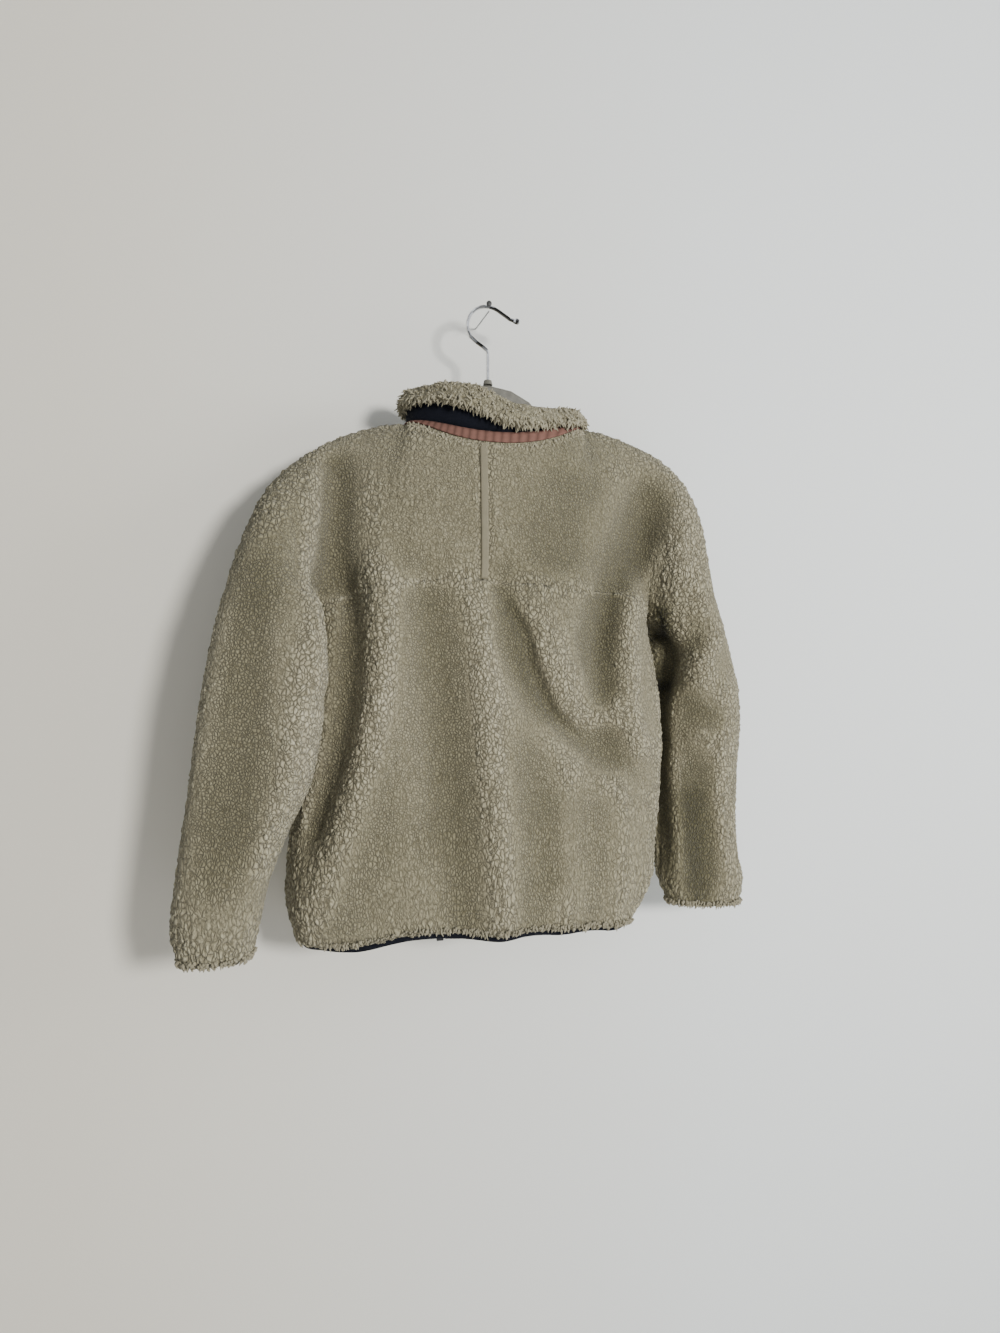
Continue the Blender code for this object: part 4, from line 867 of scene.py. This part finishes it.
def stage_material(name, warm, cool, see_through=False):
    """Plain paint with painted light: warmer and a little darker towards the left, cooler and paler
    towards the right.

    A see-through wall lets some light through to the jacket's front.
    """
    made, tree, shader = new_material(name)
    across = tree.add("ShaderNodeSeparateXYZ", {0: tree.place()}).outputs[0]
    tone = use_group(tree, "patchy_tone", {"Patch": 0.3, "Amount": 0.25})["Tone"]
    fine = use_group(tree, "fine_fibre", {"Fibre": 0.003, "Stretch": 1.0})["Height"]
    # Painted light: warm on the left, cool on the right, with random patches.
    mask = tree.maths("MULTIPLY", tree.remap(across, -0.45, 0.35), tone, clamp=True)
    tree.tree.links.new(tree.mix(mask, warm, cool), shader.inputs["Base Color"])
    tree.tree.links.new(tree.bump(fine, 0.15, 0.0005), shader.inputs["Normal"])
    shader.inputs["Roughness"].default_value = 0.9
    if see_through:
        clear = tree.add("ShaderNodeBsdfTransparent").outputs[0]
        back = tree.add("ShaderNodeNewGeometry").outputs["Backfacing"]
        rays = tree.add("ShaderNodeLightPath").outputs
        passing = tree.maths("ADD", rays["Is Diffuse Ray"], rays["Is Shadow Ray"])
        share = tree.maths("MAXIMUM", back, tree.maths("MULTIPLY", passing, 0.5))
        whole = tree.add("ShaderNodeMixShader", {0: share, 1: shader.outputs[0], 2: clear})
        output = made.node_tree.nodes["Material Output"]
        tree.tree.links.new(whole.outputs[0], output.inputs["Surface"])
    return made


NAIL_TILT = math.radians(97)
NAIL_FALL = 0.1228  # how much it falls for each mm towards the camera
NAIL_LEVEL = -1.4 * MM
NAIL_MIDDLE = 27


def make_stage():
    upright = Matrix.Translation((0, WALL_Y, 0.1)) @ Matrix.Rotation(math.radians(90), 4, "X")
    ground = Matrix.Translation((0, 0, FLOOR_Z))
    # Each sheet's colour at its warm left and its cool right, the two ends of its painted light.
    for name, width, matrix, warm, cool in (
        ("wall", 3.6, upright, (232, 227, 214), (238, 242, 242)),
        ("floor", 4.5, ground, (206, 202, 194), (218, 216, 212)),
    ):
        bm = bmesh.new()
        bmesh.ops.create_grid(bm, x_segments=2, y_segments=2, size=width / 2, matrix=matrix)
        made = stage_material(name, colour(*warm), colour(*cool), see_through=name == "wall")
        finish_object(bm, name, [made], smooth=False)
    slope = Matrix.Rotation(NAIL_TILT, 4, "X")
    for name, radius, length, middle, dark, pale in (
        ("nail_shank", 0.8, 68, 28, 168, 196), ("nail_head", 3.0, 1.8, -6.4, 12, 34),
    ):
        bm = bmesh.new()
        level = NAIL_LEVEL - (middle - NAIL_MIDDLE) * NAIL_FALL * MM
        bmesh.ops.create_cone(
            bm, cap_ends=True, segments=20, radius1=radius * MM, radius2=radius * MM,
            depth=length * MM, matrix=Matrix.Translation((0, middle * MM, level)) @ slope,
        )
        edges = [e for e in bm.edges if e.calc_face_angle(0) > 1]
        bmesh.ops.bevel(
            bm, geom=edges, offset=0.3 * MM, segments=2, profile=0.5, affect="EDGES",
            material=-1,
        )
        made = hard_material(name, colour(dark, dark, dark), colour(pale, pale, pale), 0.5)
        finish_object(bm, name, [made])


def area_light(name, place, aim, size, power, tint):
    lamp = bpy.data.lights.new(name, "AREA")
    lamp.shape = "DISK"
    lamp.size = size
    lamp.energy = power
    lamp.color = tint
    light = add_object(name, lamp)
    light.location = place
    light.rotation_euler = (Vector(aim) - Vector(place)).to_track_quat("-Z", "Y").to_euler()


def make_camera():
    lens = bpy.data.cameras.new("view")
    lens.lens = CAMERA_FOCUS / FRAME_HEIGHT * SENSOR
    lens.sensor_width = SENSOR
    lens.clip_start = 0.01
    camera = add_object("view", lens)
    camera.location = CAMERA_PLACE
    camera.rotation_euler = AHEAD.to_track_quat("-Z", "Y").to_euler()
    bpy.context.scene.camera = camera


def make_room():
    """Soft light from all around, and a patchy room for the chrome to mirror."""
    world = bpy.data.worlds.new("room")
    world.use_nodes = True
    background = world.node_tree.nodes["Background"]
    background.inputs[0].default_value = (0.93, 0.96, 1.0, 1.0)
    room = Tree(world.node_tree)
    shiny = room.add("ShaderNodeLightPath").outputs["Is Glossy Ray"]
    around = room.add("ShaderNodeTexCoord").outputs["Generated"]
    clutter = room.add("ShaderNodeTexNoise", {"Vector": around, "Scale": 2.2})
    to_wall = room.add("ShaderNodeSeparateXYZ", {0: around}).outputs[1]
    fill = room.remap(to_wall, 0.1, 0.5, 0.41, 1.0)
    mirrored = room.remap(clutter.outputs["Fac"], 0.42, 0.6, 0.02, 1.3)
    strength = room.add("ShaderNodeMix", {0: shiny, 2: fill, 3: mirrored}).outputs[0]
    world.node_tree.links.new(strength, background.inputs[1])
    bpy.context.scene.world = world


CHEST = (0, 0, -0.4)

make_groups()
make_camera()
make_stage()
area_light("key", (0.95, -2.33, -0.05), CHEST, 0.5, 64, (1.0, 0.985, 0.95))
area_light("side", (2.6, -1.1, 0.2), CHEST, 1.2, 26, (0.95, 0.98, 1.0))
make_room()

# Each fleece's three colours: the painted shade in the gaps between curls, then the curls low down
# and at their tops, darker below and paler above as painted shade and light.
FLEECE = fleece_material(
    "fleece_pile", colour(74, 68, 48), colour(141, 134, 110), colour(174, 168, 141)
)
LOCKS = fleece_material(
    "fleece_locks", colour(86, 80, 60), colour(130, 123, 102), colour(166, 160, 138),
    gap_shade_share=0.15, relief=0.3,
)
BACKING = fleece_material(
    "fleece_backing", colour(92, 86, 66), colour(112, 106, 86), colour(130, 124, 103),
    gap_shade_share=0.4,
)
NAVY = cloth_material("navy_knit", colour(5, 6, 10), colour(22, 26, 40))
PINK = cloth_material(
    "pink_tape", colour(94, 68, 60), colour(140, 102, 91), rib=0.019, row=0.0014, depth=0.0006
)
STRIP = cloth_material("seam_strip", colour(118, 112, 92), colour(152, 146, 126))
METAL = hard_material("zip_metal", colour(70, 70, 72), colour(120, 120, 122), 0.35, 1.0)
PLASTIC = hard_material("zip_plastic", colour(14, 15, 20), colour(34, 36, 44), 0.4)
HANGER = hard_material("hanger_plastic", colour(94, 92, 84), colour(116, 114, 105), 0.6)
CHROME = hard_material("chrome_wire", colour(190, 190, 190), colour(235, 235, 235), 0.1, 1.0)

pieces = {}
PANELS = ("back_panel", "yoke_sleeve_left", "yoke_sleeve_right", "front_left", "front_right")
for seed, node in enumerate(PANELS, 3):
    trims = ("centre_back_strip", "neck_tape") if node.startswith("yoke") else ()
    pieces[node] = fleece_piece("fleece_" + node, node, seed, flat_trims=trims)
pieces["collar_facing"] = fleece_piece(
    "fleece_collar", "collar_facing", 11, depth=3.4 * MM, sharp=math.radians(60),
    flat_trims=("collar_stand",), shape=shape_collar,
)


def hem_reach(place):
    """How much of the navy binding the pile hides: little at two places along the back's hem."""
    across = photo_spots(np.array([place]))[0][0]
    return float(np.interp(across, HEM_COLUMNS, HEM_SHARES))


# Each panel's locks: node, name, seed, share of its rim's points, length and width in mm, reach.
locks = {}
for node, name, seed, share, length, width, reach in (
    ("back_panel", "pile_locks_back_hem", 21, 0.7, 4.4, 2.8, hem_reach),
    ("front_left", "pile_locks_left_front_hem", 22, 0.6, 4.2, 2.8, None),
    ("front_right", "pile_locks_right_front_hem", 23, 0.6, 4.2, 2.8, None),
    ("yoke_sleeve_left", "pile_locks_left_cuff", 24, 0.7, 3.4, 3.0, None),
    ("yoke_sleeve_right", "pile_locks_right_cuff", 25, 0.7, 3.4, 3.0, None),
):
    locks[node] = edge_locks(name, node, seed, share, length * MM, width * MM, reach=reach)
locks["collar_facing"] = skin_locks(
    "pile_locks_collar", ("collar_facing",), 26, 2500, 4.6 * MM, 2.9 * MM, 0.35, curl=0.5
)

TAPE_TREE = tree_of("neck_tape")


def by_the_tape(place):
    """Whether pile here leans over the neck tape's lower edge."""
    gap = TAPE_TREE.find_nearest(place, 9 * MM)[3]
    return gap is not None and gap > 2 * MM and place.y < -25 * MM


def not_facing_up(place, out):
    return out.z < 0.3


skin_locks(
    "pile_locks_by_tape", LEFT + RIGHT_ARM, 28, 320, 4.2 * MM, 2.6 * MM, -0.55, by_the_tape
)
edge_locks(
    "pile_locks_collar_edge", "collar_facing", 27, 0.5, 2.8 * MM, 2.6 * MM, 0.45, not_facing_up
)
for name, node, material, slot, levels, shape in (
    ("knit_collar_stand", "collar_stand", NAVY, "navy_knit", 2, dip_collar),
    ("knit_hem_binding", "hem_binding", NAVY, "navy_knit", 2, None),
    ("ribbed_neck_tape", "neck_tape", PINK, "pink_tape", 2, None),
    ("flat_centre_strip", "centre_back_strip", STRIP, "seam_strip", 2, None),
    ("woven_zip_tape_left", "zip_tape_left", NAVY, "navy_knit", 1, None),
    ("woven_zip_tape_right", "zip_tape_right", NAVY, "navy_knit", 1, None),
):
    pieces[node] = soft_piece(name, node, material, levels, shape)

zip_teeth()

for node, material in (
    ("hanger_body", HANGER), ("hook_boss", HANGER), ("hook", CHROME), ("zip_chain", PLASTIC),
    ("zip_box", PLASTIC), ("zip_slider", METAL), ("zip_pull_tab", METAL),
):
    for slot in NODES[node].material_slots:
        slot.material = material

# What each sheet was cut to before it was sewn: width, length and its panel's area.
CUTS = {
    "back_panel": (0.46, 0.40, 0.180),
    "yoke_sleeve_left": (0.40, 0.62, 0.168),
    "yoke_sleeve_right": (0.40, 0.62, 0.168),
    "front_left": (0.21, 0.57, 0.109),
    "front_right": (0.28, 0.57, 0.140),
    "collar_facing": (0.50, 0.07, 0.033),
    "collar_stand": (0.37, 0.036, 0.0133),
}
TRIMS = {
    "back_panel": ["hem_binding"],
    "yoke_sleeve_left": ["centre_back_strip", "neck_tape"],
    "front_left": ["zip_tape_left"],
    "front_right": ["zip_tape_right"],
}
for node, (width, length, area) in CUTS.items():
    trims = [pieces[trim] for trim in TRIMS.get(node, ())]
    if node in locks:
        trims.append(locks[node])
